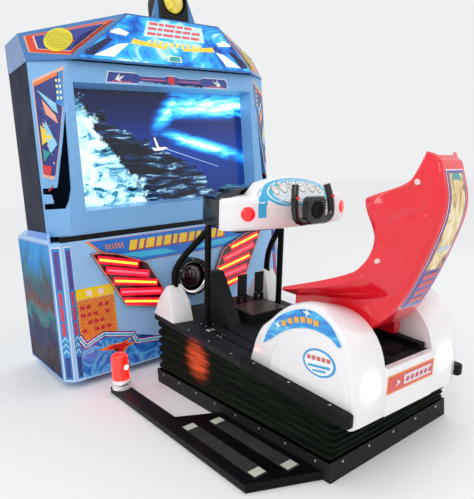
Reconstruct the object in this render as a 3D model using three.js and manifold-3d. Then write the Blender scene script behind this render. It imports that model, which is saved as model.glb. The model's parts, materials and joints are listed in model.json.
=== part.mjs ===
// Sit-down motion arcade machine: a screen cabinet and a tilting cockpit on one floor line.
// Millimetres, +Z up, +X to the player's right, +Y from the seat towards the screen.
import * as THREE from 'three';
import { mergeVertices } from 'three/addons/utils/BufferGeometryUtils.js';
import { ConvexGeometry } from 'three/addons/geometries/ConvexGeometry.js';
import Module from 'manifold-3d';

const wasm = await Module();
wasm.setup();

// ---------------------------------------------------------------- driving dimensions
const GAP = 0.5;              // air left between two pieces that touch
const SHEET = 4;              // sheet metal
const BOARD = 18;             // cabinet board

// Screen cabinet. Its lower front face is the plane y = 0.
const LOWER_HALF = 920;
const LOWER_DEPTH = 755;
const LOWER_BOTTOM = 50;
const LOWER_TOP = 930;
const LOWER_CHAMFER = 60;
const SHOULDER_RISE = 60;
const UPPER_HALF = 905;
const UPPER_FRONT = 125;
const UPPER_REAR = 540;
const UPPER_TOP = 2006;
const BEZEL_FRONT = 10;
const BEZEL_BOTTOM = 964;
const BEZEL_SHEET = 14;
const SCREEN_HALF = 664;
const SCREEN_LOW = 1126;
const SCREEN_HIGH = 1865;
const SCREEN_PLANE = 115;
const HEADER_TOP = 2289;
const HEADER_SIDE_TOP = 2191;

// Cockpit base on the floor.
const BASE_HALF = 427;
const BASE_FRONT = -255;
const BASE_REAR = -1700;
const BASE_HEIGHT = 86;
const STEP_OUTER = -723;
const STEP_HEIGHT = 38;

// Tilting platform. Its own frame has z = 0 on the deck and y = 0 over the pivot.
const DECK_ORIGIN = new THREE.Vector3(0, -975, 370);
const REST_PITCH = THREE.MathUtils.degToRad(5.5);   // nose up
const REST_ROLL = THREE.MathUtils.degToRad(2);      // right side down
const PIVOT_DROP = 125;                             // pivot below the deck
const DECK_HALF = 425;
const DECK_FRONT = 700;
const DECK_REAR = -790;
const DECK_DEPTH = 35;
const SEAT_BOX_HALF = 170;
const SEAT_BOX_TOP = 144;
const FENDER_OUTER = 380;
const FENDER_INNER = 174;

// ---------------------------------------------------------------- materials
function coat(color, roughness, metalness = 0) {
  return { color, roughness, metalness };
}
const COATS = {
  cabinetBlue: coat(0x7fb2dc, 0.4, 0.35),
  printBlue: coat(0x4d86c4, 0.35),
  navy: coat(0x1d2a4c, 0.35, 0.3),
  black: coat(0x111114, 0.5),
  blackMetal: coat(0x15161a, 0.35, 0.6),
  rubber: coat(0x1c2a1c, 0.8),
  whiteGloss: coat(0xf4f2ee, 0.15),
  redGloss: coat(0xe0182a, 0.12),
  redLens: coat(0xd01010, 0.1),
  yellow: coat(0xe6d430, 0.4),
  screen: coat(0x0b1c58, 0.08),
  print: coat(0x2aa6e8, 0.2),
  lampWhite: coat(0xf4fbff, 0.1),
  steel: coat(0xb9bcc0, 0.3, 0.9),
  chrome: coat(0xe8e8ea, 0.08, 1),
};

// ---------------------------------------------------------------- geometry helpers
function toManifold(geometry) {
  const bare = geometry.clone();
  bare.deleteAttribute('normal');
  bare.deleteAttribute('uv');
  const merged = mergeVertices(bare, 1e-3);
  const mesh = new wasm.Mesh({
    numProp: 3,
    vertProperties: new Float32Array(merged.attributes.position.array),
    triVerts: new Uint32Array(merged.index.array),
  });
  return new wasm.Manifold(mesh);
}

function toGeometry(manifold) {
  const mesh = manifold.getMesh();
  const indexed = new THREE.BufferGeometry();
  indexed.setAttribute('position', new THREE.BufferAttribute(mesh.vertProperties, 3));
  indexed.setIndex(new THREE.BufferAttribute(mesh.triVerts, 1));
  const flat = indexed.toNonIndexed();
  flat.computeVertexNormals();
  return flat;
}

function union(...geometries) {
  return toGeometry(geometries.map(toManifold).reduce((sum, next) => sum.add(next)));
}

function subtract(base, ...cutters) {
  const cut = cutters.map(toManifold).reduce((rest, next) => rest.subtract(next), toManifold(base));
  return toGeometry(cut);
}

function box(x0, x1, y0, y1, z0, z1) {
  const geometry = new THREE.BoxGeometry(x1 - x0, y1 - y0, z1 - z0);
  return geometry.translate((x0 + x1) / 2, (y0 + y1) / 2, (z0 + z1) / 2);
}

function outline(points) {
  return new THREE.Shape(points.map(([u, v]) => new THREE.Vector2(u, v)));
}

function extrude(shape, depth, bevel = 0, curveSegments = 6) {
  const flatDepth = depth - 2 * bevel;
  const geometry = new THREE.ExtrudeGeometry(shape, {
    depth: flatDepth,
    bevelEnabled: bevel > 0,
    bevelThickness: bevel,
    bevelSize: bevel,
    bevelOffset: -bevel,
    bevelSegments: 1,
    curveSegments,
  });
  return geometry.translate(0, 0, bevel);
}

// An outline in (y, z), from x0 to x1.
function alongX(shape, x0, x1, bevel = 0) {
  const turn = new THREE.Matrix4().makeBasis(
    new THREE.Vector3(0, 1, 0), new THREE.Vector3(0, 0, 1), new THREE.Vector3(1, 0, 0));
  return extrude(shape, x1 - x0, bevel).applyMatrix4(turn).translate(x0, 0, 0);
}

// An outline in (x, z), from y0 to y1.
function alongY(shape, y0, y1, bevel = 0) {
  const turn = new THREE.Matrix4().makeBasis(
    new THREE.Vector3(1, 0, 0), new THREE.Vector3(0, 0, 1), new THREE.Vector3(0, -1, 0));
  return extrude(shape, y1 - y0, bevel).applyMatrix4(turn).translate(0, y1, 0);
}

// An outline in (x, y), from z0 to z1.
function alongZ(shape, z0, z1, bevel = 0) {
  return extrude(shape, z1 - z0, bevel).translate(0, 0, z0);
}

function roundedRect(u0, u1, v0, v1, radius) {
  const shape = new THREE.Shape();
  shape.moveTo(u0 + radius, v0);
  shape.lineTo(u1 - radius, v0);
  shape.absarc(u1 - radius, v0 + radius, radius, -Math.PI / 2, 0);
  shape.lineTo(u1, v1 - radius);
  shape.absarc(u1 - radius, v1 - radius, radius, 0, Math.PI / 2);
  shape.lineTo(u0 + radius, v1);
  shape.absarc(u0 + radius, v1 - radius, radius, Math.PI / 2, Math.PI);
  shape.lineTo(u0, v0 + radius);
  shape.absarc(u0 + radius, v0 + radius, radius, Math.PI, 1.5 * Math.PI);
  return shape;
}

function cylinder(from, to, radius, segments = 24) {
  const start = new THREE.Vector3(...from);
  const axis = new THREE.Vector3(...to).sub(start);
  const geometry = new THREE.CylinderGeometry(radius, radius, axis.length(), segments);
  const turn = new THREE.Quaternion().setFromUnitVectors(
    new THREE.Vector3(0, 1, 0), axis.clone().normalize());
  const middle = start.addScaledVector(axis, 0.5);
  return geometry.applyQuaternion(turn).translate(middle.x, middle.y, middle.z);
}

// A turned solid from (radius, height) pairs that start and end on the axis, axis along +Z.
function turned(profile, segments = 24) {
  const points = profile.map(([r, h]) => new THREE.Vector2(r, h));
  return new THREE.LatheGeometry(points, segments).rotateX(Math.PI / 2);
}

function hull(points) {
  return new ConvexGeometry(points.map((p) => new THREE.Vector3(...p)));
}

function mirrorX(geometry) {
  const mirrored = geometry.index ? geometry.toNonIndexed() : geometry.clone();
  mirrored.scale(-1, 1, 1);
  const position = mirrored.attributes.position;
  const second = new THREE.Vector3();
  const third = new THREE.Vector3();
  for (let i = 0; i < position.count; i += 3) {
    second.fromBufferAttribute(position, i + 1);
    third.fromBufferAttribute(position, i + 2);
    position.setXYZ(i + 1, third.x, third.y, third.z);
    position.setXYZ(i + 2, second.x, second.y, second.z);
  }
  mirrored.computeVertexNormals();
  return mirrored;
}

function areaNormal(ring) {
  const normal = new THREE.Vector3();
  ring.forEach((point, i) => {
    const next = ring[(i + 1) % ring.length];
    normal.add(new THREE.Vector3().crossVectors(point, next));
  });
  return normal.normalize();
}

function capFaces(ring, outward) {
  const normal = areaNormal(ring);
  const helper = Math.abs(normal.x) < 0.9 ? new THREE.Vector3(1, 0, 0) : new THREE.Vector3(0, 1, 0);
  const u = new THREE.Vector3().crossVectors(helper, normal).normalize();
  const v = new THREE.Vector3().crossVectors(normal, u);
  const flat = ring.map((p) => new THREE.Vector2(p.dot(u), p.dot(v)));
  return THREE.ShapeUtils.triangulateShape(flat, []).map(([a, b, c]) => {
    const side = new THREE.Vector3().crossVectors(
      ring[b].clone().sub(ring[a]), ring[c].clone().sub(ring[a]));
    return side.dot(normal) * outward > 0 ? [a, b, c] : [a, c, b];
  });
}

// A skin through rings of equal length: either closed on itself, or capped at both ends.
function loft(rings, closed = false) {
  const size = rings[0].length;
  const faces = [];
  const last = closed ? rings.length : rings.length - 1;
  for (let i = 0; i < last; i += 1) {
    const here = i * size;
    const there = ((i + 1) % rings.length) * size;
    for (let j = 0; j < size; j += 1) {
      const k = (j + 1) % size;
      faces.push([here + j, here + k, there + k], [here + j, there + k, there + j]);
    }
  }
  if (!closed) {
    const end = (rings.length - 1) * size;
    capFaces(rings[0], -1).forEach((f) => faces.push(f));
    capFaces(rings[rings.length - 1], 1).forEach((f) => faces.push(f.map((n) => n + end)));
  }
  const points = rings.flat();
  const volume = faces.reduce((sum, [a, b, c]) => sum + points[a].dot(
    new THREE.Vector3().crossVectors(points[b], points[c])), 0);
  const order = volume < 0 ? faces.map(([a, b, c]) => [a, c, b]) : faces;
  const geometry = new THREE.BufferGeometry();
  geometry.setAttribute('position', new THREE.Float32BufferAttribute(
    points.flatMap((p) => [p.x, p.y, p.z]), 3));
  geometry.setIndex(order.flat());
  const flat = geometry.toNonIndexed();
  flat.computeVertexNormals();
  return flat;
}

// A hollow tube along a smooth line through the given points.
function tube(points, radius, wall, steps) {
  const path = new THREE.CatmullRomCurve3(
    points.map((p) => new THREE.Vector3(...p)), false, 'centripetal');
  const ring = new THREE.Shape().absarc(0, 0, radius, 0, 2 * Math.PI);
  if (wall > 0) {
    ring.holes.push(new THREE.Path().absarc(0, 0, radius - wall, 0, 2 * Math.PI, true));
  }
  return new THREE.ExtrudeGeometry(ring, { extrudePath: path, steps, curveSegments: 5 });
}

const group = new THREE.Group();
const platform = new THREE.Group();
platform.position.copy(DECK_ORIGIN);
platform.rotation.set(REST_PITCH, REST_ROLL, 0, 'XYZ');
group.add(platform);

// The pivot lies straight below the deck origin in the platform's own frame.
const pivot = new THREE.Vector3(0, 0, -PIVOT_DROP).applyEuler(platform.rotation).add(DECK_ORIGIN);
const gimbal = new THREE.Group();
gimbal.position.copy(pivot);
gimbal.rotation.set(REST_PITCH, 0, 0);
group.add(gimbal);

function add(parent, name, geometry, look) {
  const mesh = new THREE.Mesh(geometry, new THREE.MeshStandardMaterial(COATS[look]));
  mesh.name = name;
  parent.add(mesh);
  return mesh;
}

function addPair(parent, name, leftGeometry, look) {
  add(parent, `${name}_left`, leftGeometry, look);
  add(parent, `${name}_right`, mirrorX(leftGeometry), look);
}

// ---------------------------------------------------------------- lower cabinet
function lowerPlan(inset) {
  const half = LOWER_HALF - inset;
  const chamfer = LOWER_CHAMFER;
  const rear = LOWER_DEPTH - inset;
  return outline([
    [-half, rear], [-half, chamfer + inset * 0.4], [-half + chamfer - inset * 0.4, inset],
    [half - chamfer + inset * 0.4, inset], [half, chamfer + inset * 0.4], [half, rear],
  ]);
}

// Rounded shoulder along each side; it sinks behind the upper cabinet.
function shoulderRing(y, rise) {
  const inner = -UPPER_HALF - GAP;
  const ring = [new THREE.Vector3(inner, y, LOWER_TOP - 5)];
  const steps = 6;
  for (let i = 0; i <= steps; i += 1) {
    const angle = (i / steps) * (Math.PI / 2);
    ring.push(new THREE.Vector3(inner - (LOWER_HALF + inner) * Math.sin(angle), y,
      LOWER_TOP + rise * Math.cos(angle)));
  }
  ring.push(new THREE.Vector3(-LOWER_HALF, y, LOWER_TOP - 5));
  return ring;
}

function shoulder() {
  return loft([
    shoulderRing(LOWER_CHAMFER, SHOULDER_RISE), shoulderRing(UPPER_REAR, SHOULDER_RISE),
    shoulderRing(UPPER_REAR + 70, SHOULDER_RISE * 0.85), shoulderRing(LOWER_DEPTH, 8),
  ]);
}

const DOOR_HALF = 640;
const DOOR_LOW = 120;
const DOOR_HIGH = 880;
const PORT_HEIGHT = 585;      // centre of the round port in the lower front
const PORT_RADIUS = 130;

function lowerCabinet() {
  const body = union(alongZ(lowerPlan(0), LOWER_BOTTOM, LOWER_TOP), shoulder(), mirrorX(shoulder()));
  const room = alongZ(lowerPlan(BOARD), LOWER_BOTTOM + BOARD, LOWER_TOP - BOARD);
  const doorway = box(-DOOR_HALF, DOOR_HALF, LOWER_DEPTH - 2 * BOARD, LOWER_DEPTH + 5,
    DOOR_LOW, DOOR_HIGH);
  const port = cylinder([0, -5, PORT_HEIGHT], [0, BOARD + 5, PORT_HEIGHT], PORT_RADIUS - 25);
  return subtract(body, room, doorway, port);
}
add(group, 'lower_cabinet', lowerCabinet(), 'printBlue');

// Two floor skids carry the lower cabinet.
const SKID_WIDTH = 90;
const SKID_FRONT = 110;
const SKID_REAR = 720;
addPair(group, 'floor_skid', box(-760, -760 + SKID_WIDTH, SKID_FRONT, SKID_REAR,
  0, LOWER_BOTTOM - GAP), 'black');

// Wing-shaped light boxes left and right of the round port.
function lightBox() {
  const wing = outline([
    [-693, 840], [-638, 845], [-526, 821], [-348, 748], [-313, 728],
    [-209, 536], [-209, 501], [-244, 409], [-492, 469],
  ]);
  return alongY(wing, -25, -GAP, 3);
}
addPair(group, 'light_box', lightBox(), 'redLens');

const PORT_REACH = 100;
const portRing = subtract(
  cylinder([0, -PORT_REACH, PORT_HEIGHT], [0, -GAP, PORT_HEIGHT], PORT_RADIUS, 40),
  cylinder([0, -PORT_REACH - 5, PORT_HEIGHT], [0, 5, PORT_HEIGHT], PORT_RADIUS - 14, 40));
add(group, 'port_ring', portRing, 'black');

// The dome of the port bulges towards the player and carries a rear flange.
function portDome() {
  const radius = PORT_RADIUS - 14 - GAP;
  const rise = 52;
  const profile = [[0, 0], [radius, 0], [radius, 10]];
  for (let i = 1; i <= 6; i += 1) {
    const angle = (i / 6) * (Math.PI / 2);
    profile.push([Math.max(radius * Math.cos(angle), 0), 10 + rise * Math.sin(angle)]);
  }
  profile[profile.length - 1][0] = 0;
  return turned(profile, 32).rotateX(Math.PI / 2).translate(0, -28, PORT_HEIGHT);
}
add(group, 'port_dome', portDome(), 'black');

// ---------------------------------------------------------------- rear service door
const DOOR_SHEET = 14;
const DOOR_PLAY = 3;
const LOCK_X = DOOR_HALF - 60;
const LOCK_Z = (DOOR_LOW + DOOR_HIGH) / 2;
const LOCK_RADIUS = 12;
const doorY = LOWER_DEPTH - DOOR_SHEET;
const door = subtract(
  box(-DOOR_HALF + DOOR_PLAY, DOOR_HALF - DOOR_PLAY, doorY, LOWER_DEPTH,
    DOOR_LOW + DOOR_PLAY, DOOR_HIGH - DOOR_PLAY),
  cylinder([LOCK_X, doorY - 5, LOCK_Z], [LOCK_X, LOWER_DEPTH + 5, LOCK_Z], LOCK_RADIUS + GAP));
add(group, 'rear_door', door, 'navy');

// The lock barrel turns a cam inside the door. The cam hangs down when the door is unlocked,
// and a quarter turn brings its end behind the door frame.
const camReach = DOOR_HALF + 20 - LOCK_X;
const lock = union(
  cylinder([LOCK_X, doorY - 12, LOCK_Z], [LOCK_X, LOWER_DEPTH - 1, LOCK_Z], LOCK_RADIUS),
  box(LOCK_X - 9, LOCK_X + 9, doorY - 12, doorY - 8, LOCK_Z - camReach, LOCK_Z + 10));
add(group, 'door_lock', lock, 'steel');

// ---------------------------------------------------------------- upper cabinet and bezel
const upperShell = subtract(
  box(-UPPER_HALF, UPPER_HALF, UPPER_FRONT, UPPER_REAR, LOWER_TOP + GAP, UPPER_TOP),
  box(-UPPER_HALF + BOARD, UPPER_HALF - BOARD, UPPER_FRONT - 5, UPPER_REAR - BOARD,
    LOWER_TOP + BOARD, UPPER_TOP - BOARD));
add(group, 'upper_cabinet', upperShell, 'navy');

// The front sheet is folded: flat around the screen, its wings swept back to the side panels.
const FOLD_TOP = 704;
const FOLD_BOTTOM = 795;
const WING_EDGE_Y = UPPER_FRONT - 1;

function bezelRing(z, fold) {
  const ring = [
    [-UPPER_HALF, WING_EDGE_Y], [-fold, BEZEL_FRONT], [fold, BEZEL_FRONT], [UPPER_HALF, WING_EDGE_Y],
    [UPPER_HALF - 18, WING_EDGE_Y], [fold - 6, BEZEL_FRONT + BEZEL_SHEET],
    [-fold + 6, BEZEL_FRONT + BEZEL_SHEET], [-UPPER_HALF + 18, WING_EDGE_Y],
  ];
  return ring.map(([x, y]) => new THREE.Vector3(x, y, z));
}

function frameHull(half, low, high, y, halfBack, lowBack, highBack, yBack) {
  const corners = [];
  for (const sign of [-1, 1]) {
    corners.push([sign * half, y, low], [sign * half, y, high]);
    corners.push([sign * halfBack, yBack, lowBack], [sign * halfBack, yBack, highBack]);
  }
  return hull(corners);
}

// Open slit with two side notches between the screen surround and each wing.
function wingSlit() {
  const slit = outline([
    [-741, 1723], [-773, 1531], [-827, 1262], [-897, 1262], [-897, 1227], [-852, 1222],
    [-850, 1168], [-897, 1168], [-897, 1133], [-800, 1133], [-778, 1180], [-760, 1250],
  ]);
  return alongY(slit, 0, UPPER_FRONT + 20);
}

function frontBezel() {
  const sheet = loft([bezelRing(BEZEL_BOTTOM, FOLD_BOTTOM), bezelRing(UPPER_TOP, FOLD_TOP)]);
  const tunnelOuter = frameHull(SCREEN_HALF + 32, SCREEN_LOW - 32, SCREEN_HIGH + 31, BEZEL_FRONT + 4,
    SCREEN_HALF + 22, SCREEN_LOW - 22, SCREEN_HIGH + 22, SCREEN_PLANE - GAP);
  const tunnelInner = frameHull(SCREEN_HALF + 20, SCREEN_LOW - 20, SCREEN_HIGH + 19, BEZEL_FRONT - 5,
    SCREEN_HALF - 1, SCREEN_LOW + 1, SCREEN_HIGH - 1, SCREEN_PLANE + 5);
  return subtract(union(sheet, tunnelOuter), tunnelInner, wingSlit(), mirrorX(wingSlit()));
}
add(group, 'front_bezel', frontBezel(), 'cabinetBlue');

add(group, 'trim_strip', box(-UPPER_HALF + 42, UPPER_HALF - 42, 4, 30, LOWER_TOP + GAP,
  BEZEL_BOTTOM - GAP), 'black');

add(group, 'screen_panel', box(-SCREEN_HALF - 26, SCREEN_HALF + 26, SCREEN_PLANE, SCREEN_PLANE + 60,
  SCREEN_LOW - 26, SCREEN_HIGH + 26), 'screen');

// ---------------------------------------------------------------- header
const HEADER_BOTTOM = UPPER_TOP + GAP;
const HEADER_HALF = 908;
const WING_LOW_HALF = 677;    // where the marquee meets the wing, bottom
const WING_TOP_HALF = 344;    // and top
const HEADER_NOSE_LOW = -45;
const HEADER_NOSE_TOP = -95;
const HEADER_EDGE_LOW = 116;

// The left wing is a plane through three corners; it carries the speaker.
const wingA = new THREE.Vector3(-HEADER_HALF, HEADER_EDGE_LOW, HEADER_BOTTOM);
const wingB = new THREE.Vector3(-WING_LOW_HALF, HEADER_NOSE_LOW, HEADER_BOTTOM);
const wingD = new THREE.Vector3(-WING_TOP_HALF, HEADER_NOSE_TOP, HEADER_TOP);
const wingNormal = new THREE.Vector3().crossVectors(
  wingB.clone().sub(wingA), wingD.clone().sub(wingA)).normalize();

function wingDepth(x, z) {
  return wingA.y - ((x - wingA.x) * wingNormal.x + (z - wingA.z) * wingNormal.z) / wingNormal.y;
}

const HEADER_EDGE_TOP = wingDepth(-HEADER_HALF, HEADER_SIDE_TOP);
const SPEAKER_RADIUS = 86;
const speakerSeat = new THREE.Vector3(-722, wingDepth(-722, 2130), 2130);

function headerPoints(inset, floor) {
  const points = [];
  for (const side of [-1, 1]) {
    const low = side * (WING_LOW_HALF - inset * 0.4);
    const edge = side * (HEADER_HALF - inset);
    const top = side * (WING_TOP_HALF - inset * 0.4);
    points.push([edge, UPPER_REAR - inset, floor], [edge, HEADER_EDGE_LOW + inset, floor]);
    points.push([low, HEADER_NOSE_LOW + inset, floor]);
    points.push([edge, UPPER_REAR - inset, HEADER_SIDE_TOP - inset]);
    points.push([edge, HEADER_EDGE_TOP + inset, HEADER_SIDE_TOP - inset]);
    points.push([top, HEADER_NOSE_TOP + inset, HEADER_TOP - inset]);
    points.push([top, UPPER_REAR - inset, HEADER_TOP - inset]);
  }
  return points;
}

function speakerDisc(radius, start, end, segments) {
  const from = speakerSeat.clone().addScaledVector(wingNormal, start);
  const to = speakerSeat.clone().addScaledVector(wingNormal, end);
  return cylinder(from.toArray(), to.toArray(), radius, segments);
}

const LAMP_HALF = 108;
const FIN_BASE = 56;
const FIN_RISE = 150;

function headerFin() {
  const fin = outline([
    [-LAMP_HALF - FIN_BASE, HEADER_TOP - 4], [-LAMP_HALF - GAP, HEADER_TOP - 4],
    [-LAMP_HALF - GAP, HEADER_TOP + FIN_RISE],
  ]);
  return alongY(fin, HEADER_NOSE_TOP + 8, HEADER_NOSE_TOP + 22);
}

function headerBox() {
  const shell = union(hull(headerPoints(0, HEADER_BOTTOM)), headerFin(), mirrorX(headerFin()));
  const room = hull(headerPoints(BOARD, HEADER_BOTTOM - 5));
  const hole = speakerDisc(SPEAKER_RADIUS - 16, -40, 10, 20);
  return subtract(shell, room, hole, mirrorX(hole));
}
add(group, 'header_box', headerBox(), 'cabinetBlue');

addPair(group, 'speaker_grille', speakerDisc(SPEAKER_RADIUS, 2, 8, 28), 'yellow');

// The marquee sheet lies on the forward-leaning centre face of the header.
function marquee() {
  const up = new THREE.Vector3(0, HEADER_NOSE_TOP - HEADER_NOSE_LOW, HEADER_TOP - HEADER_BOTTOM);
  const height = up.length();
  up.normalize();
  const across = new THREE.Vector3(1, 0, 0);
  const out = new THREE.Vector3().crossVectors(across, up);
  const margin = 10;
  const sheet = outline([
    [-WING_LOW_HALF + 2 * margin, margin], [WING_LOW_HALF - 2 * margin, margin],
    [WING_TOP_HALF - margin, height - margin], [-WING_TOP_HALF + margin, height - margin],
  ]);
  const place = new THREE.Matrix4().makeBasis(across, up, out);
  place.setPosition(out.clone().multiplyScalar(GAP).add(
    new THREE.Vector3(0, HEADER_NOSE_LOW, HEADER_BOTTOM)));
  return extrude(sheet, 5).applyMatrix4(place);
}
add(group, 'marquee_panel', marquee(), 'print');

// Lamp on top of the header: an arched black housing with a domed lens.
const LAMP_FRONT = HEADER_NOSE_TOP - 6;
const LAMP_REAR = 60;
const LAMP_TOP = 2512;

function lampHousing() {
  const arch = new THREE.Shape();
  arch.moveTo(-LAMP_HALF, HEADER_TOP + GAP);
  arch.lineTo(LAMP_HALF, HEADER_TOP + GAP);
  arch.lineTo(LAMP_HALF, LAMP_TOP - LAMP_HALF);
  arch.absarc(0, LAMP_TOP - LAMP_HALF, LAMP_HALF, 0, Math.PI);
  const bore = cylinder([0, LAMP_FRONT - 5, LAMP_TOP - LAMP_HALF],
    [0, LAMP_REAR - 20, LAMP_TOP - LAMP_HALF], 78, 28);
  return subtract(alongY(arch, LAMP_FRONT, LAMP_REAR, 8), bore);
}
add(group, 'top_lamp_housing', lampHousing(), 'black');

function lampLens() {
  const radius = 77;
  const profile = [[0, 0], [radius, 0], [radius, 14]];
  for (let i = 1; i <= 5; i += 1) {
    const angle = (i / 5) * (Math.PI / 2);
    profile.push([i === 5 ? 0 : radius * Math.cos(angle), 14 + 40 * Math.sin(angle)]);
  }
  return turned(profile, 28).rotateX(Math.PI / 2).translate(0, LAMP_FRONT + 30, LAMP_TOP - LAMP_HALF);
}
add(group, 'top_lamp_lens', lampLens(), 'yellow');

// ---------------------------------------------------------------- floor pieces of the cockpit
const PLINTH_WALL = 8;
const FLOOR_PLATE = 6;
const plinth = subtract(
  box(-BASE_HALF, BASE_HALF, BASE_REAR, BASE_FRONT, 0, BASE_HEIGHT),
  box(-BASE_HALF + PLINTH_WALL, BASE_HALF - PLINTH_WALL, BASE_REAR + PLINTH_WALL,
    BASE_FRONT - PLINTH_WALL, FLOOR_PLATE, BASE_HEIGHT + 5));
add(group, 'plinth', plinth, 'black');

// A flat cable duct on the floor ties the cockpit base to the screen cabinet.
add(group, 'floor_duct', box(-70, 70, BASE_FRONT + GAP, SKID_FRONT, 0, 24), 'black');

// The boarding step and its arm, one painted board on the floor.
const ARM_END = -195;
const ARM_INNER = -628;
const stepPlan = outline([
  [STEP_OUTER, ARM_END], [STEP_OUTER, -1513], [-BASE_HALF - GAP, -1660],
  [-BASE_HALF - GAP, -935], [ARM_INNER, -808], [ARM_INNER, ARM_END],
]);
add(group, 'side_step', alongZ(stepPlan, 0, STEP_HEIGHT, 3), 'black');

// Anti-slip strips on the step.
function strip(x, front, rear) {
  return box(x - 34, x + 34, rear, front, STEP_HEIGHT + GAP, STEP_HEIGHT + GAP + 3);
}
add(group, 'grip_strip_outer', strip(-632, -930, -1512), 'rubber');
add(group, 'grip_strip_inner', strip(-498, -975, -1566), 'rubber');

// Warning beacon: base cup, lens cap and a reflector that spins round the bulb.
const BEACON = new THREE.Vector3(-672, -252, STEP_HEIGHT);
const BEACON_RADIUS = 56;
function atBeacon(geometry) {
  return geometry.translate(BEACON.x, BEACON.y, BEACON.z + GAP);
}
const BEACON_BASE_HEIGHT = 58;
add(group, 'beacon_base', atBeacon(turned([
  [0, 0], [BEACON_RADIUS + 2, 0], [BEACON_RADIUS + 2, 40], [BEACON_RADIUS - 8, BEACON_BASE_HEIGHT],
  [12, BEACON_BASE_HEIGHT], [12, BEACON_BASE_HEIGHT + 45], [0, BEACON_BASE_HEIGHT + 45],
], 28)), 'whiteGloss');

const LENS_TOP = 216;
add(group, 'beacon_lens', atBeacon(turned([
  [0, LENS_TOP - 4], [BEACON_RADIUS - 24, LENS_TOP - 7], [BEACON_RADIUS - 7, LENS_TOP - 26],
  [BEACON_RADIUS - 6, BEACON_BASE_HEIGHT + GAP], [BEACON_RADIUS - 2, BEACON_BASE_HEIGHT + GAP],
  [BEACON_RADIUS - 3, LENS_TOP - 24], [BEACON_RADIUS - 22, LENS_TOP - 3], [0, LENS_TOP],
], 28)), 'redLens');

function reflector() {
  const base = BEACON_BASE_HEIGHT + 2;
  const ring = subtract(
    cylinder([0, 0, base], [0, 0, base + 8], 40),
    cylinder([0, 0, base - 5], [0, 0, base + 20], 13));
  const bowl = subtract(
    cylinder([0, 0, base + 4], [0, 0, base + 110], 40),
    cylinder([0, 0, base - 5], [0, 0, base + 120], 36),
    box(-60, 60, -60, 8, base + 8, base + 120));
  return union(ring, bowl);
}
add(group, 'beacon_reflector', atBeacon(reflector()), 'chrome');

// ---------------------------------------------------------------- pivot, gimbal, pitch drive
const PIN_RADIUS = 20;
const EAR_INNER = 62;
const EAR_OUTER = 84;
const EAR_HALF = 36;

function ear(x0, x1, low, high) {
  const shape = new THREE.Shape();
  shape.moveTo(-EAR_HALF, low);
  shape.lineTo(EAR_HALF, low);
  shape.lineTo(EAR_HALF, high);
  shape.absarc(0, high, EAR_HALF, 0, Math.PI);
  return alongX(shape, x0, x1);
}

function pivotPost() {
  const height = pivot.z - FLOOR_PLATE;
  const parts = union(
    box(-120, 120, -120, 120, -height + GAP, -height + 14),
    box(-60, 60, -50, 50, -height + 10, -78),
    box(-EAR_OUTER, EAR_OUTER, -EAR_HALF, EAR_HALF, -100, -74),
    ear(EAR_INNER, EAR_OUTER, -90, 0), ear(-EAR_OUTER, -EAR_INNER, -90, 0));
  const bore = cylinder([-120, 0, 0], [120, 0, 0], PIN_RADIUS + 0.3, 32);
  return subtract(parts, bore).translate(pivot.x, pivot.y, pivot.z);
}
add(group, 'pivot_post', pivotPost(), 'blackMetal');

const LEVER_X = -150;
const LEVER_REACH = 260;
const CRANK_RADIUS = 40;
const CRANK_RATIO = LEVER_REACH / CRANK_RADIUS;
const CRANK_PIN = 8;
const CRANK_EYE = 20;
const LEVER_HALF = 34;

// The cross carries the pitch pin along X, the roll pin along Y and the rear drive lever.
function gimbalCross() {
  const slot = roundedRect(-LEVER_REACH - 28, -LEVER_REACH + 28, -CRANK_PIN - 5, CRANK_PIN + 5, 12);
  const lever = subtract(
    alongX(roundedRect(-LEVER_REACH - 50, 30, -LEVER_HALF, LEVER_HALF, 20), LEVER_X - 9, LEVER_X + 9),
    alongX(slot, LEVER_X - 20, LEVER_X + 20));
  return union(
    box(-48, 48, -48, 48, -32, 32),
    cylinder([LEVER_X, 0, 0], [EAR_OUTER + 8, 0, 0], PIN_RADIUS, 32),
    cylinder([0, -EAR_OUTER - 8, 0], [0, EAR_OUTER + 8, 0], PIN_RADIUS, 32),
    lever);
}
add(gimbal, 'gimbal_cross', gimbalCross(), 'steel');

const DRIVE = new THREE.Vector3(LEVER_X - 30, pivot.y - LEVER_REACH - CRANK_RADIUS + 6, pivot.z);
function pitchMotor() {
  return union(
    box(-110, -GAP - 8, -60, 60, -60, 40),
    box(-120, -20, -80, 80, FLOOR_PLATE + GAP - DRIVE.z, FLOOR_PLATE + 12 - DRIVE.z),
    box(-95, -40, -50, 50, FLOOR_PLATE + 8 - DRIVE.z, -50),
    cylinder([-170, 0, 0], [-100, 0, 0], 40, 24)).translate(DRIVE.x, DRIVE.y, DRIVE.z);
}
add(group, 'pitch_motor', pitchMotor(), 'blackMetal');

// The crank arm stays below the deck at every pitch, which a full disc of the same throw would not.
function pitchCrank() {
  const angle = -CRANK_RATIO * REST_PITCH;
  const arm = roundedRect(-CRANK_EYE, CRANK_RADIUS + CRANK_EYE - 6, -CRANK_EYE + 4, CRANK_EYE - 4, 14);
  const crank = union(
    alongX(arm, -8, 8),
    cylinder([4, CRANK_RADIUS, 0], [44, CRANK_RADIUS, 0], CRANK_PIN, 20));
  return crank.rotateX(angle).translate(DRIVE.x, DRIVE.y, DRIVE.z);
}
add(group, 'pitch_crank', pitchCrank(), 'steel');

// ---------------------------------------------------------------- bellows
const PLEATS = 3;             // pleats in each half of the bellows
const PLEAT_DEPTH = 20;
const SKIN = 5;

function levelCorner(sx, sy, inset) {
  const y = sy > 0 ? BASE_FRONT - inset : BASE_REAR + inset;
  return new THREE.Vector3(sx * (BASE_HALF - inset), y, BASE_HEIGHT + GAP);
}

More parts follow.
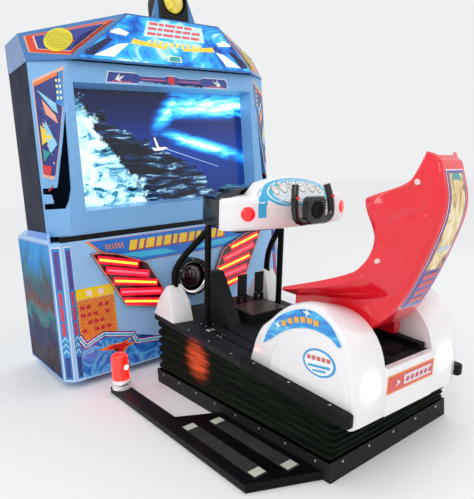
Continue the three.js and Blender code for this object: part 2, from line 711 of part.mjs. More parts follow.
function tiltedCorner(sx, sy, inset) {
  const y = sy > 0 ? DECK_FRONT - 4 - inset : DECK_REAR + 22 + inset;
  const point = new THREE.Vector3(sx * (DECK_HALF - 4 - inset), y, -DECK_DEPTH - GAP);
  return platform.localToWorld(point);
}

// Closed profile of one skin, as (share of height, inset) pairs down the outside and up the inside.
function pleatProfile(from, to) {
  const outside = [];
  const inside = [];
  for (let i = 0; i <= 2 * PLEATS; i += 1) {
    const share = from + (to - from) * (i / (2 * PLEATS));
    const inset = i % 2 === 0 ? PLEAT_DEPTH : 2;
    outside.push([share, inset]);
    inside.unshift([share, inset + SKIN]);
  }
  return outside.concat(inside);
}

function bellows(from, to) {
  platform.updateMatrixWorld(true);
  const profile = pleatProfile(from, to);
  const corners = [[-1, -1], [1, -1], [1, 1], [-1, 1]];
  return loft(corners.map(([sx, sy]) => profile.map(([share, inset]) => levelCorner(sx, sy, inset)
    .lerp(tiltedCorner(sx, sy, inset), share))), true);
}
add(group, 'bellows_lower', bellows(0, 0.497), 'rubber');
add(group, 'bellows_upper', bellows(0.503, 1), 'rubber');

// ---------------------------------------------------------------- platform deck
function platformDeck() {
  const plate = box(-DECK_HALF, DECK_HALF, DECK_REAR, DECK_FRONT, -DECK_DEPTH, 0);
  const pockets = [];
  for (const [y0, y1] of [[DECK_REAR + SHEET, -210], [-190, 190], [210, DECK_FRONT - SHEET]]) {
    pockets.push(box(-DECK_HALF + SHEET, DECK_HALF - SHEET, y0, y1, -DECK_DEPTH - 5, -SHEET));
  }
  const hanger = ear(EAR_INNER, EAR_OUTER, 0, PIVOT_DROP - 2).rotateX(Math.PI).rotateZ(Math.PI / 2);
  const web = box(-60, 60, -190, 190, -DECK_DEPTH, -2);
  const hangers = [hanger.clone(), hanger.clone().rotateZ(Math.PI)];
  const bore = cylinder([0, -120, -PIVOT_DROP], [0, 120, -PIVOT_DROP], PIN_RADIUS + 0.3, 32);
  const lowered = hangers.map((piece) => piece.translate(0, 0, -2));
  return subtract(union(subtract(plate, ...pockets), web, ...lowered), bore);
}
add(platform, 'platform_deck', platformDeck(), 'black');

// Side rails with rounded ends run beside the fenders.
const RAIL_OUTER = 432;
const RAIL_FRONT = -150;
const RAIL_REAR = -832;
function sideRail() {
  const plan = roundedRect(-RAIL_OUTER, -FENDER_OUTER - GAP, RAIL_REAR, RAIL_FRONT, 22);
  const body = alongZ(plan, -DECK_DEPTH, 18, 5);
  const deckCut = box(-DECK_HALF - GAP, 0, DECK_REAR - GAP, DECK_FRONT, -DECK_DEPTH - 5, GAP);
  return subtract(body, deckCut);
}
addPair(platform, 'side_rail', sideRail(), 'black');

// Raised box under the seat.
const seatBox = subtract(
  box(-SEAT_BOX_HALF, SEAT_BOX_HALF, DECK_REAR + 4, -230, GAP, SEAT_BOX_TOP),
  box(-SEAT_BOX_HALF + SHEET, SEAT_BOX_HALF - SHEET, DECK_REAR + 4 + SHEET, -230 - SHEET,
    -5, SEAT_BOX_TOP - SHEET));
add(platform, 'seat_box', seatBox, 'black');

// White tail panel between the fenders.
const TAIL_REAR = -818;
add(platform, 'tail_panel', box(-FENDER_INNER + GAP, FENDER_INNER - GAP, TAIL_REAR,
  DECK_REAR - GAP, -66, SEAT_BOX_TOP + 4), 'whiteGloss');

// ---------------------------------------------------------------- fenders
function fenderOutline(inset) {
  const shape = new THREE.Shape();
  shape.moveTo(-168 - inset * 1.2, 1);
  shape.lineTo(-206 - inset, 118);
  shape.quadraticCurveTo(-236 - inset, 200 - inset, -272 - inset * 0.4, 224 - inset);
  shape.lineTo(-322, 266 - inset);
  shape.bezierCurveTo(-392, 340 - inset, -470, 390 - inset, -556, 392 - inset);
  shape.bezierCurveTo(-660, 392 - inset, -735 + inset, 340 - inset, -775 + inset, 258 - inset);
  shape.bezierCurveTo(-806 + inset, 190, -816 + inset, 100, -818 + inset, 0);
  shape.lineTo(-814 + inset, -66);
  shape.lineTo(DECK_REAR - GAP, -66);
  shape.lineTo(DECK_REAR - GAP, 1);
  return shape;
}

// The crown drops a little towards the seat; the outer edge is rounded.
function fenderRing(x, inset, crown) {
  return fenderOutline(inset).getPoints(6).map((p) => new THREE.Vector3(
    x, p.x, p.y > 0 ? p.y * crown : p.y));
}

function fenderBody(wall) {
  const inner = -FENDER_INNER - wall;
  const outer = -FENDER_OUTER + wall;
  return loft([
    fenderRing(inner, wall, 0.9), fenderRing(outer + 55, wall, 1),
    fenderRing(outer + 12, wall + 3, 1), fenderRing(outer + 3, wall + 9, 1),
    fenderRing(outer, wall + 15, 1),
  ]);
}

function fender() {
  const underside = box(-500, 0, DECK_REAR - GAP, 0, -80, GAP);
  const hollow = subtract(fenderBody(8), box(-500, 0, -900, DECK_REAR + 6, -100, 400));
  return subtract(fenderBody(0), hollow.translate(0, 0, -3), underside);
}
addPair(platform, 'fender', fender(), 'whiteGloss');

const TAIL_LAMP_X = -271;
const TAIL_LAMP_Z = 90;
const TAIL_LAMP_RADIUS = 50;
const tailLamp = turned([
  [0, 0], [TAIL_LAMP_RADIUS, 0], [TAIL_LAMP_RADIUS, 8], [TAIL_LAMP_RADIUS - 8, 15],
  [TAIL_LAMP_RADIUS - 26, 20], [0, 22],
], 28).rotateX(Math.PI / 2).translate(TAIL_LAMP_X, TAIL_REAR - GAP, TAIL_LAMP_Z);
addPair(platform, 'tail_lamp', tailLamp, 'lampWhite');

// ---------------------------------------------------------------- seat
// Runner frame: two rails on the seat box joined by two cross plates.
const RUNNER_TOP = SEAT_BOX_TOP + 34;
const RUNNER_FRONT = -330;
const RUNNER_REAR = -780;
function seatRunner() {
  const rail = box(-150, -118, RUNNER_REAR, RUNNER_FRONT, SEAT_BOX_TOP + GAP, RUNNER_TOP);
  const channel = box(-142, -126, RUNNER_REAR - 5, RUNNER_FRONT + 5, SEAT_BOX_TOP + 12, RUNNER_TOP - 5);
  const mouth = box(-138, -130, RUNNER_REAR - 5, RUNNER_FRONT + 5, RUNNER_TOP - 8, RUNNER_TOP + 5);
  const hollowRail = subtract(rail, channel, mouth);
  const bars = [[-380, -350], [-740, -710]].map(([y0, y1]) => box(
    -120, 120, y0, y1, SEAT_BOX_TOP + GAP, SEAT_BOX_TOP + 8));
  return union(hollowRail, mirrorX(hollowRail), ...bars);
}
add(platform, 'seat_runner', seatRunner(), 'blackMetal');

// Each station: back point (y, z) and half width, rim point (y, z) and half width, depth of the
// well, and the share of the height below which the shell stays narrow.
const SEAT_STATIONS = [
  { back: [-236, 262], backHalf: 158, rim: [-244, 372], rimHalf: 252, well: 58, narrow: 0.5 },
  { back: [-400, 232], backHalf: 158, rim: [-400, 428], rimHalf: 262, well: 130, narrow: 0.66 },
  { back: [-560, 228], backHalf: 158, rim: [-560, 488], rimHalf: 266, well: 185, narrow: 0.64 },
  { back: [-690, 262], backHalf: 140, rim: [-634, 522], rimHalf: 268, well: 205, narrow: 0.6 },
  { back: [-772, 360], backHalf: 100, rim: [-684, 542], rimHalf: 268, well: 160, narrow: 0.3 },
  { back: [-838, 490], backHalf: 92, rim: [-748, 616], rimHalf: 262, well: 108, narrow: 0.2 },
  { back: [-896, 640], backHalf: 88, rim: [-770, 712], rimHalf: 258, well: 100, narrow: 0.2 },
  { back: [-932, 750], backHalf: 92, rim: [-716, 792], rimHalf: 272, well: 165, narrow: 0.2 },
  { back: [-944, 830], backHalf: 94, rim: [-702, 852], rimHalf: 266, well: 180, narrow: 0.2 },
  { back: [-938, 884], backHalf: 90, rim: [-768, 880], rimHalf: 230, well: 120, narrow: 0.2 },
  { back: [-926, 920], backHalf: 86, rim: [-838, 910], rimHalf: 180, well: 48, narrow: 0.2 },
  { back: [-914, 962], backHalf: 80, rim: [-846, 970], rimHalf: 135, well: 34, narrow: 0.2 },
  { back: [-903, 1000], backHalf: 76, rim: [-856, 1032], rimHalf: 108, well: 24, narrow: 0.2 },
];
const SEAT_SHELL = 24;

function seatRing({ back, backHalf, rim, rimHalf, well, narrow }) {
  const up = new THREE.Vector2(rim[0] - back[0], rim[1] - back[1]);
  const height = up.length();
  up.normalize();
  const floor = height - well;
  const innerRim = rimHalf - SEAT_SHELL;
  const innerSide = Math.min(backHalf + (rimHalf - backHalf) * 0.45, innerRim - 12);
  const half = [
    [backHalf, 0], [backHalf, height * narrow], [rimHalf, height * 0.86],
    [rimHalf - 6, height], [innerRim, height * 0.97],
    [innerSide - SEAT_SHELL * 0.6, Math.max(height * (narrow + 0.86) / 2, floor + well * 0.3)],
    [backHalf * 0.72, floor + well * 0.06],
  ];
  const at = ([x, h]) => new THREE.Vector3(x, back[0] + up.x * h, back[1] + up.y * h);
  const left = half.map(([x, h]) => at([-x, h]));
  return half.map(at).concat(left.reverse());
}

// The shell stands on two feet that run in the rail mouths.
function seatShell() {
  const shell = loft(SEAT_STATIONS.map(seatRing));
  const foot = union(
    box(-155, -113, -640, -420, RUNNER_TOP + GAP, 250),
    box(-137, -131, -640, -420, SEAT_BOX_TOP + 16, RUNNER_TOP + 4),
    box(-141, -127, -640, -420, SEAT_BOX_TOP + 14, SEAT_BOX_TOP + 26));
  return union(shell, foot, mirrorX(foot));
}
add(platform, 'seat_shell', seatShell(), 'redGloss');

// ---------------------------------------------------------------- console frame
const POST_X = -279;
const POST_Y = 338;
const TUBE_RADIUS = 19;
function consoleFrame() {
  const post = tube([[POST_X, POST_Y, GAP + 4], [POST_X, POST_Y, 300], [POST_X, POST_Y, 588]],
    TUBE_RADIUS, 0, 2);
  const brace = tube([
    [POST_X, POST_Y, 566], [POST_X - 24, POST_Y + 58, 500], [-345, 508, 372],
    [-361, 548, 300], [-365, 560, 200], [-366, 561, GAP + 4],
  ], TUBE_RADIUS, 0, 14);
  const flange = alongZ(roundedRect(POST_X - 48, POST_X + 48, POST_Y - 44, POST_Y + 44, 8), GAP, 8);
  const toe = alongZ(roundedRect(-406, -326, 522, 600, 8), GAP, 8);
  return union(post, brace, flange, toe);
}
addPair(platform, 'console_frame', consoleFrame(), 'blackMetal');

// White scoop over the foot of each brace.
function tubeCover() {
  const outer = hull([
    [-427, 700, 2], [-427, 470, 2], [-300, 452, 2], [-300, 700, 2],
    [-405, 590, 196], [-330, 590, 196], [-405, 545, 212], [-330, 545, 212],
    [-420, 640, 120], [-310, 640, 120], [-424, 500, 120], [-306, 486, 120],
  ]);
  const inner = hull([
    [-421, 694, 0], [-421, 476, 0], [-306, 458, 0], [-306, 694, 0],
    [-399, 590, 190], [-336, 590, 190], [-399, 549, 205], [-336, 549, 205],
    [-414, 634, 118], [-316, 634, 118], [-418, 506, 118], [-312, 492, 118],
  ]);
  const mouth = cylinder([-364, 560, 150], [-364, 560, 260], TUBE_RADIUS + 6, 20);
  return subtract(outer, inner, mouth);
}
addPair(platform, 'tube_cover', tubeCover(), 'whiteGloss');

// ---------------------------------------------------------------- console
const CONSOLE_HALF = 432;
const CONSOLE_SPLIT = 26;     // plane between the white face and the black rear cover
const CONSOLE_LOW = 626;

// Top edge of the console: low shoulders and a raised middle hump.
const HUMP_HALF = 282;
const HUMP_RAMP = 34;
function consoleTop(x) {
  const share = Math.abs(x) / CONSOLE_HALF;
  const ramp = THREE.MathUtils.smoothstep(Math.abs(x), HUMP_HALF - HUMP_RAMP, HUMP_HALF);
  const hump = 884 - 44 * (Math.abs(x) / HUMP_HALF) ** 2;
  const wing = 842 - 62 * share;
  return hump + (wing - hump) * ramp;
}

// Section of the white console at x: it bulges towards the player.
function consoleSection(x, inset, rearLimit) {
  const share = Math.min(Math.abs(x) / CONSOLE_HALF, 1);
  const bulge = Math.sqrt(Math.max(1 - share ** 2.6, 0));
  const front = 2 - 134 * bulge + inset;
  const low = CONSOLE_LOW + inset;
  const brow = 772 + 10 * bulge - inset;
  const top = consoleTop(x) - inset;
  const rounding = 14;
  return [
    [front + 2 * rounding * bulge + 2, low], [front + 0.5 * rounding, low + 0.6 * rounding],
    [front, low + 2 * rounding], [front + 3, (low + brow) / 2], [front + 8, brow - 16],
    [front + 18 * bulge + 9, brow + 2], [(front * 1.2 + rearLimit) / 2.2, (brow + top) / 2 + 6],
    [rearLimit - 13, top - 2], [rearLimit, top - 10], [rearLimit, low],
  ].map(([y, z]) => new THREE.Vector3(x, y, z));
}

function frontAt(x) {
  return consoleSection(x, 0, CONSOLE_SPLIT)[3].y;
}

function consoleLoft(half, inset, rearLimit) {
  const rings = [];
  const count = 22;
  for (let i = 0; i <= count; i += 1) {
    rings.push(consoleSection(-half * Math.cos((i / count) * Math.PI), inset, rearLimit));
  }
  return loft(rings);
}

function consoleShell() {
  const outer = consoleLoft(CONSOLE_HALF, 0, CONSOLE_SPLIT);
  const inner = consoleLoft(CONSOLE_HALF - 7, 7, CONSOLE_SPLIT + 10);
  const columnHole = cylinder([0, -300, HUB.z], [0, 20, HUB.z], COLUMN_RADIUS + 3, 28);
  return subtract(outer, inner, columnHole);
}

const COLUMN_RADIUS = 17;
const HUB = new THREE.Vector3(0, -196, 728);
add(platform, 'console_shell', consoleShell(), 'whiteGloss');

// Round red lenses at both ends of the console face.
const ROUNDEL = new THREE.Vector3(-342, -13, 711);
function roundel() {
  const slope = (frontAt(ROUNDEL.x + 30) - frontAt(ROUNDEL.x - 30)) / 60;
  const turn = Math.atan(slope);
  return turned([[0, -4], [34, -4], [36, 0], [32, 4], [0, 6]], 28).rotateX(Math.PI / 2)
    .rotateZ(turn).translate(ROUNDEL.x, frontAt(ROUNDEL.x) - 5.5, ROUNDEL.z);
}
addPair(platform, 'console_roundel', roundel(), 'redLens');

// Black rear cover: rounded box with a hood on top, open towards the white shell.
const COVER_HALF = 324;
const COVER_REAR = 372;
const COVER_LOW = 598;
const COVER_TOP = 764;
const HOOD_TOP = 832;
const HOOD_REAR = 200;

function hood(inset) {
  const arch = new THREE.Shape();
  const half = COVER_HALF - inset;
  const top = HOOD_TOP - inset;
  arch.moveTo(-half, COVER_TOP - 20);
  arch.lineTo(half, COVER_TOP - 20);
  arch.lineTo(half, top - 46);
  arch.quadraticCurveTo(half - 14, top, half - 110, top);
  arch.lineTo(-half + 110, top);
  arch.quadraticCurveTo(-half + 14, top, -half, top - 46);
  return alongY(arch, CONSOLE_SPLIT - 30, HOOD_REAR - inset);
}

function rearCover() {
  const plan = roundedRect(-COVER_HALF, COVER_HALF, -20, COVER_REAR, 60);
  const inner = roundedRect(-COVER_HALF + 5, COVER_HALF - 5, -20, COVER_REAR - 5, 56);
  const outside = union(alongZ(plan, COVER_LOW, COVER_TOP, 12), hood(0));
  const inside = union(alongZ(inner, COVER_LOW + 6, COVER_TOP - 6, 12), hood(5));
  const frontCut = box(-400, 400, -100, CONSOLE_SPLIT + GAP, 500, 900);
  const postHole = cylinder([POST_X, POST_Y, COVER_LOW - 30], [POST_X, POST_Y, COVER_LOW + 12],
    TUBE_RADIUS + 1, 20);
  return subtract(subtract(outside, inside), frontCut, postHole, mirrorX(postHole));
}
add(platform, 'console_cover', rearCover(), 'black');

// ---------------------------------------------------------------- controls
// The column slides fore and aft in a bearing inside the console and carries the yoke.
const COLUMN_REAR = 170;
const SPIGOT_RADIUS = 9;
const HUB_REAR = HUB.y + 24;
function steeringColumn() {
  return union(
    cylinder([0, HUB_REAR + GAP, HUB.z], [0, COLUMN_REAR, HUB.z], COLUMN_RADIUS, 28),
    cylinder([0, HUB_REAR - 24, HUB.z], [0, HUB_REAR + 10, HUB.z], SPIGOT_RADIUS, 24));
}
add(platform, 'steering_column', steeringColumn(), 'steel');

function columnBearing() {
  const foot = CONSOLE_LOW + 7 + GAP;
  return subtract(
    union(box(-90, 90, -60, 20, foot, foot + 8), box(-34, 34, -40, 70, foot, HUB.z + 34)),
    cylinder([0, -80, HUB.z], [0, 90, HUB.z], COLUMN_RADIUS + 0.4, 32));
}
add(platform, 'column_bearing', columnBearing(), 'blackMetal');

// Two upright grips joined by a low bar and a tall hub.
const GRIP_X = 124;
const GRIP_RADIUS = 19;
const FIRE_RADIUS = 9;
const FIRE_Z = HUB.z + 62;
const GRIP_LINE = [
  [-20, HUB.y, HUB.z - 56], [-84, HUB.y, HUB.z - 60], [-GRIP_X, HUB.y, HUB.z - 38],
  [-GRIP_X - 6, HUB.y + 6, HUB.z + 20], [-GRIP_X, HUB.y + 16, HUB.z + 74],
  [-GRIP_X + 12, HUB.y + 27, HUB.z + 122],
];
function yoke() {
  const hub = alongY(roundedRect(-66, 66, HUB.z - 74, HUB.z + 66, 30), HUB.y - 26, HUB_REAR, 8);
  const side = tube(GRIP_LINE, GRIP_RADIUS, 0, 12);
  const bore = cylinder([0, HUB.y, HUB.z], [0, HUB_REAR + 5, HUB.z], SPIGOT_RADIUS + 0.4, 24);
  const seat = cylinder([-GRIP_X - 2, HUB.y - 40, FIRE_Z], [-GRIP_X - 2, HUB.y + 6, FIRE_Z],
    FIRE_RADIUS + 0.5, 20);
  return subtract(union(hub, side, mirrorX(side)), bore, seat, mirrorX(seat));
}
add(platform, 'yoke', yoke(), 'black');

// A red fire button faces the player on each grip.
const fireButton = cylinder([-GRIP_X - 2, HUB.y - 12, FIRE_Z],
  [-GRIP_X - 2, HUB.y + 1, FIRE_Z], FIRE_RADIUS, 20);
addPair(platform, 'fire_button', fireButton, 'redGloss');

// Pedal unit: tread box with a tall side box, and a pair of lugs for each pedal.
const TREAD_TOP = 60;
const TREAD_RIGHT = 226;
const PEDAL_Y = 430;
const PEDAL_FOOT = TREAD_TOP + 30;
const PEDAL_HALF = 32;
const PEDAL_PIN = 9;
const BRAKE_X = 50;
const THROTTLE_X = 188;

function pedalLugs(x) {
  const lug = (x0) => box(x0, x0 + 6, PEDAL_Y - 14, PEDAL_Y + 14, TREAD_TOP - 2, PEDAL_FOOT + 11);
  const bore = cylinder([x - 50, PEDAL_Y, PEDAL_FOOT], [x + 50, PEDAL_Y, PEDAL_FOOT],
    PEDAL_PIN + 0.4, 20);
  return subtract(union(lug(x - 30), lug(x + 24), box(x - 30, x + 30, PEDAL_Y - 14, PEDAL_Y + 14,
    TREAD_TOP - 3, TREAD_TOP + 3)), bore);
}

function pedalUnit() {
  const tread = box(-60, TREAD_RIGHT, 190, 480, GAP, TREAD_TOP);
  const side = alongX(outline([[230, GAP], [480, GAP], [480, 286], [420, 286]]), -196, -104);
  const bridge = box(-120, -40, 300, 470, GAP, 30);
  const under = [box(-56, TREAD_RIGHT - SHEET, 194, 476, -5, TREAD_TOP - SHEET),
    alongX(outline([[238, -5], [476, -5], [476, 280], [424, 280]]), -192, -108),
    box(-125, -35, 304, 466, -5, 26)];
  return union(subtract(union(tread, side, bridge), ...under), pedalLugs(BRAKE_X),
    pedalLugs(THROTTLE_X));
}
add(platform, 'pedal_unit', pedalUnit(), 'blackMetal');

// A pedal pivots at its foot on a pin held by two lugs.
function pedal(x) {
  const pad = alongX(roundedRect(PEDAL_Y - 7, PEDAL_Y + 7, PEDAL_FOOT + 14, PEDAL_FOOT + 150, 6),
    x - PEDAL_HALF, x + PEDAL_HALF);
  const arm = box(x - 12, x + 12, PEDAL_Y - 5, PEDAL_Y + 5, PEDAL_FOOT, PEDAL_FOOT + 20);
  const pin = cylinder([x - 29, PEDAL_Y, PEDAL_FOOT], [x + 29, PEDAL_Y, PEDAL_FOOT], PEDAL_PIN, 20);
  return union(pad, arm, pin);
}
add(platform, 'pedal_brake', pedal(BRAKE_X), 'black');
add(platform, 'pedal_throttle', pedal(THROTTLE_X), 'black');

// ---------------------------------------------------------------- centre the row frame
group.updateMatrixWorld(true);
const bounds = new THREE.Box3().setFromObject(group, true);
const middle = bounds.getCenter(new THREE.Vector3());
group.position.set(-middle.x, -middle.y, -bounds.min.z);
group.updateMatrixWorld(true);

export default group;
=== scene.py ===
"""Looks of the sit-down motion arcade machine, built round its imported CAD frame. Metres, +Z up."""

import json
import math
import random

import bmesh
import bpy
from mathutils import Matrix, Vector
from mathutils.bvhtree import BVHTree


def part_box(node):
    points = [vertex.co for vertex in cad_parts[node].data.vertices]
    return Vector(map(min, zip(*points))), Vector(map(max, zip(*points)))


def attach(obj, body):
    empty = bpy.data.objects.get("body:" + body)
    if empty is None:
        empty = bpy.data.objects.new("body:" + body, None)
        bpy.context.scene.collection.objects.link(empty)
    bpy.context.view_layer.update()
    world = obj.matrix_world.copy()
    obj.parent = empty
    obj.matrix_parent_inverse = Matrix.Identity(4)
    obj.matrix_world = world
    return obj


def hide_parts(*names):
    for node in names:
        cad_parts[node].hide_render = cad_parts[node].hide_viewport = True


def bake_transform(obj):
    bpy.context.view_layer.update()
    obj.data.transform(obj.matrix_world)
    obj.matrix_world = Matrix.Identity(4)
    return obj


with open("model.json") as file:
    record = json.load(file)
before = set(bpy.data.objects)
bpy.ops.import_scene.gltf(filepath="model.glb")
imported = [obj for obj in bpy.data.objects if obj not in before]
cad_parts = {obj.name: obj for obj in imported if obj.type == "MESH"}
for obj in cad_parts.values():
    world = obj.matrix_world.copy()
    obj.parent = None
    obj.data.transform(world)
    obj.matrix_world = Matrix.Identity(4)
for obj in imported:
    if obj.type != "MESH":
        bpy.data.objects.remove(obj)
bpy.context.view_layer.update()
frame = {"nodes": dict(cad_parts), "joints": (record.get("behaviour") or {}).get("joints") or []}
MM = 0.001
NODES = frame["nodes"]
JOINTS = {j["name"]: j for j in frame["joints"]}
LIFT = 0.0012            # how far a printed film stands off the surface under it
random.seed(7)

# ---------------------------------------------------------------- places
# Screen cabinet: x across, y back from its lower front face, z up, in millimetres.
CABINET_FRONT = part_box("lower_cabinet")[0].y


def cab(x, y, z):
    return Vector((x * MM, CABINET_FRONT + y * MM, z * MM))


# Platform: its own tilted axes, z = 0 on the deck, y = 0 over the pivot, in millimetres.
PIVOT = Vector(JOINTS["platform_roll"]["pos_m"])
ALONG = Vector(JOINTS["platform_roll"]["axis"]).normalized()
ACROSS = Vector(JOINTS["brake_press"]["axis"]).normalized()
UPRIGHT = ACROSS.cross(ALONG).normalized()
PIVOT_DROP = 125


def plat(x, y, z):
    return PIVOT + (ACROSS * x + ALONG * y + UPRIGHT * (z + PIVOT_DROP)) * MM


# ---------------------------------------------------------------- materials
def linear(code):
    """A #rrggbb colour as linear RGBA."""
    parts = [int(code[i:i + 2], 16) / 255 for i in (1, 3, 5)]
    return tuple(c / 12.92 if c <= 0.04045 else ((c + 0.055) / 1.055) ** 2.4 for c in parts) + (1,)


def shade(color, factor):
    return tuple(min(c * factor, 1) for c in color[:3]) + (1,)


class Nodes:
    """Short hand for building one material's node tree."""

    def __init__(self, name):
        self.material = bpy.data.materials.new(name)
        self.material.use_nodes = True
        self.tree = self.material.node_tree
        self.shader = self.tree.nodes["Principled BSDF"]
        coords = self.tree.nodes.new("ShaderNodeTexCoord")
        self.object_coords = coords.outputs["Object"]

    def link(self, a, b):
        self.tree.links.new(a, b)

    def set(self, node, **values):
        for key, value in values.items():
            node.inputs[key.replace("_", " ")].default_value = value
        return node

    def mapping(self, scale=(1, 1, 1), turn=(0, 0, 0), move=(0, 0, 0)):
        node = self.tree.nodes.new("ShaderNodeMapping")
        node.inputs["Scale"].default_value = scale
        node.inputs["Rotation"].default_value = turn
        node.inputs["Location"].default_value = move
        self.link(self.object_coords, node.inputs["Vector"])
        return node.outputs["Vector"]

    def noise(self, scale, detail=3, rough=0.5, vector=None, distortion=0):
        node = self.tree.nodes.new("ShaderNodeTexNoise")
        self.set(node, Scale=scale, Detail=detail, Roughness=rough, Distortion=distortion)
        self.link(vector or self.object_coords, node.inputs["Vector"])
        return node.outputs["Fac"]

    def remap(self, value, low, high, to_low, to_high):
        node = self.tree.nodes.new("ShaderNodeMapRange")
        for index, number in enumerate((low, high, to_low, to_high), 1):
            node.inputs[index].default_value = number
        self.link(value, node.inputs[0])
        return node.outputs[0]

    def ramp(self, value, stops):
        node = self.tree.nodes.new("ShaderNodeValToRGB")
        ramp = node.color_ramp
        while len(ramp.elements) < len(stops):
            ramp.elements.new(0.5)
        for element, (place, color) in zip(ramp.elements, stops):
            element.position = place
            element.color = color
        self.link(value, node.inputs[0])
        return node.outputs[0]

    def math(self, kind, a, b):
        node = self.tree.nodes.new("ShaderNodeMath")
        node.operation = kind
        for socket, value in zip(node.inputs, (a, b)):
            if isinstance(value, (int, float)):
                socket.default_value = value
            else:
                self.link(value, socket)
        return node.outputs[0]

    def mix(self, share, a, b, kind="MIX"):
        node = self.tree.nodes.new("ShaderNodeMix")
        node.data_type = "RGBA"
        node.blend_type = kind
        for socket, value in zip((node.inputs[0], node.inputs[6], node.inputs[7]), (share, a, b)):
            if isinstance(value, (int, float, tuple)):
                socket.default_value = value
            else:
                self.link(value, socket)
        return node.outputs[2]

    def bump(self, height, strength, distance=0.001):
        node = self.tree.nodes.new("ShaderNodeBump")
        node.inputs["Strength"].default_value = strength
        node.inputs["Distance"].default_value = distance
        self.link(height, node.inputs["Height"])
        self.link(node.outputs["Normal"], self.shader.inputs["Normal"])


def coat(name, code, spread=0.12, grain=40, rough=(0.3, 0.45), bump=0.1, fine=600, metal=0.0,
         gloss=0.0, glow=0.0, wear=None, shine=0.5):
    """A finish with drifting tone, uneven roughness, fine surface bump, and optional edge wear."""
    n = Nodes(name)
    base = linear(code)
    tone = n.ramp(n.noise(grain, 4, 0.6), [(0.3, shade(base, 1 - spread)), (0.7, shade(base, 1 + spread))])
    if wear:
        geometry = n.tree.nodes.new("ShaderNodeNewGeometry")
        edge = n.remap(geometry.outputs["Pointiness"], 0.53, 0.62, 0, 1)
        patchy = n.math("MULTIPLY", edge, n.noise(90, 3))
        tone = n.mix(patchy, tone, linear(wear))
    n.link(tone, n.shader.inputs["Base Color"])
    n.link(n.remap(n.noise(grain * 0.6, 5), 0.3, 0.7, *rough), n.shader.inputs["Roughness"])
    n.shader.inputs["Metallic"].default_value = metal
    n.shader.inputs["Specular IOR Level"].default_value = shine
    n.shader.inputs["Coat Weight"].default_value = gloss
    n.shader.inputs["Coat Roughness"].default_value = 0.06
    if glow:
        n.link(tone, n.shader.inputs["Emission Color"])
        n.shader.inputs["Emission Strength"].default_value = glow
    n.bump(n.noise(fine, 2), bump, 0.0006)
    return n.material


CAB_BLUE = coat("lacquer_light_blue", "#79b2e4", 0.05, 14, (0.3, 0.44), 0.05, 900, 0.0, 0.2)
PANEL_BLUE = coat("film_cabinet_blue", "#98c6f2", 0.05, 8, (0.3, 0.42), 0.04, 700, 0.0, 0.1)
NAVY = coat("laminate_navy", "#141d36", 0.15, 12, (0.45, 0.6), 0.12, 500, shine=0.1)
BRIGHT_BLUE = coat("film_bright_blue", "#1a78dc", 0.15, 10, (0.2, 0.32), 0.03, 500, 0.0, 0.3)
BLACK = coat("plastic_black", "#0b0c0e", 0.2, 60, (0.3, 0.5), 0.3, 900, shine=0.28)
GLOSS_BLACK = coat("plastic_black_gloss", "#0a0b0d", 0.2, 40, (0.14, 0.26), 0.05, 500, gloss=0.5, shine=0.4)
BLACK_METAL = coat("powder_black", "#060708", 0.2, 40, (0.42, 0.6), 0.3, 1100, wear="#303134", shine=0.12)
BLACK_BOARD = coat("paint_black_board", "#060709", 0.25, 9, (0.34, 0.5), 0.14, 180, shine=0.14)
WHITE = coat("frp_white", "#f1eff0", 0.02, 10, (0.1, 0.22), 0.02, 300, 0.0, 0.7)
RED = coat("frp_red", "#e8152b", 0.05, 7, (0.14, 0.26), 0.02, 240, 0.0, 0.45)
STEEL = coat("steel_ground", "#b4b7bb", 0.08, 120, (0.22, 0.38), 0.2, 1500, 1.0)
CHROME = coat("chrome_bright", "#e6e7ea", 0.03, 60, (0.04, 0.1), 0.03, 600, 1.0)
LENS_RED = coat("lens_red_lit", "#e0101c", 0.12, 30, (0.08, 0.16), 0.1, 200, 0.0, 0.8, 0.9)
BEACON_RED = coat("lens_beacon_red", "#f01a12", 0.2, 50, (0.06, 0.14), 0.15, 160, 0.0, 0.9, 2.2)
BEACON_CORE = coat("lamp_beacon_core", "#ffd9a8", 0.1, 80, (0.2, 0.3), 0.1, 200, 0.0, 0.0, 9.0)
LAMP_WHITE = coat("lens_lamp_white", "#f2fbff", 0.03, 60, (0.1, 0.2), 0.3, 160, 0.0, 0.7, 2.6)
YELLOW = coat("plastic_yellow", "#e3d52c", 0.08, 60, (0.3, 0.45), 0.2, 500)
GOLD_LENS = coat("lens_amber", "#d9c43a", 0.45, 22, (0.05, 0.12), 0.1, 90, 0.1, 1.0, 0.15)


def tread_rubber():
    """Anti-slip strip: fine black grit with a dusty wear pattern."""
    n = Nodes("grit_antislip")
    dust = n.noise(9, 5, 0.7)
    n.link(n.ramp(dust, [(0.35, linear("#17191a")), (0.75, linear("#3a3b37"))]),
           n.shader.inputs["Base Color"])
    n.shader.inputs["Roughness"].default_value = 0.85
    n.bump(n.noise(1400, 2), 0.9, 0.001)
    return n.material


def bellows_cloth():
    """Coated cloth: dark green-black with a fine weave and worn folds."""
    n = Nodes("cloth_bellows")
    fold = n.noise(1.0, 4, 0.7, n.mapping((3, 3, 90)))
    tone = n.ramp(fold, [(0.3, linear("#060a06")), (0.55, linear("#0f190f")), (0.8, linear("#24341c"))])
    n.link(tone, n.shader.inputs["Base Color"])
    n.link(n.remap(n.noise(30, 4), 0.3, 0.7, 0.55, 0.75), n.shader.inputs["Roughness"])
    n.shader.inputs["Specular IOR Level"].default_value = 0.08
    weave = n.noise(900, 2, 0.5, n.mapping((1, 1, 3)))
    wrinkle = n.noise(1.0, 5, 0.6, n.mapping((7, 7, 45)))
    n.bump(n.math("ADD", n.math("MULTIPLY", weave, 0.15), wrinkle), 0.6, 0.004)
    return n.material


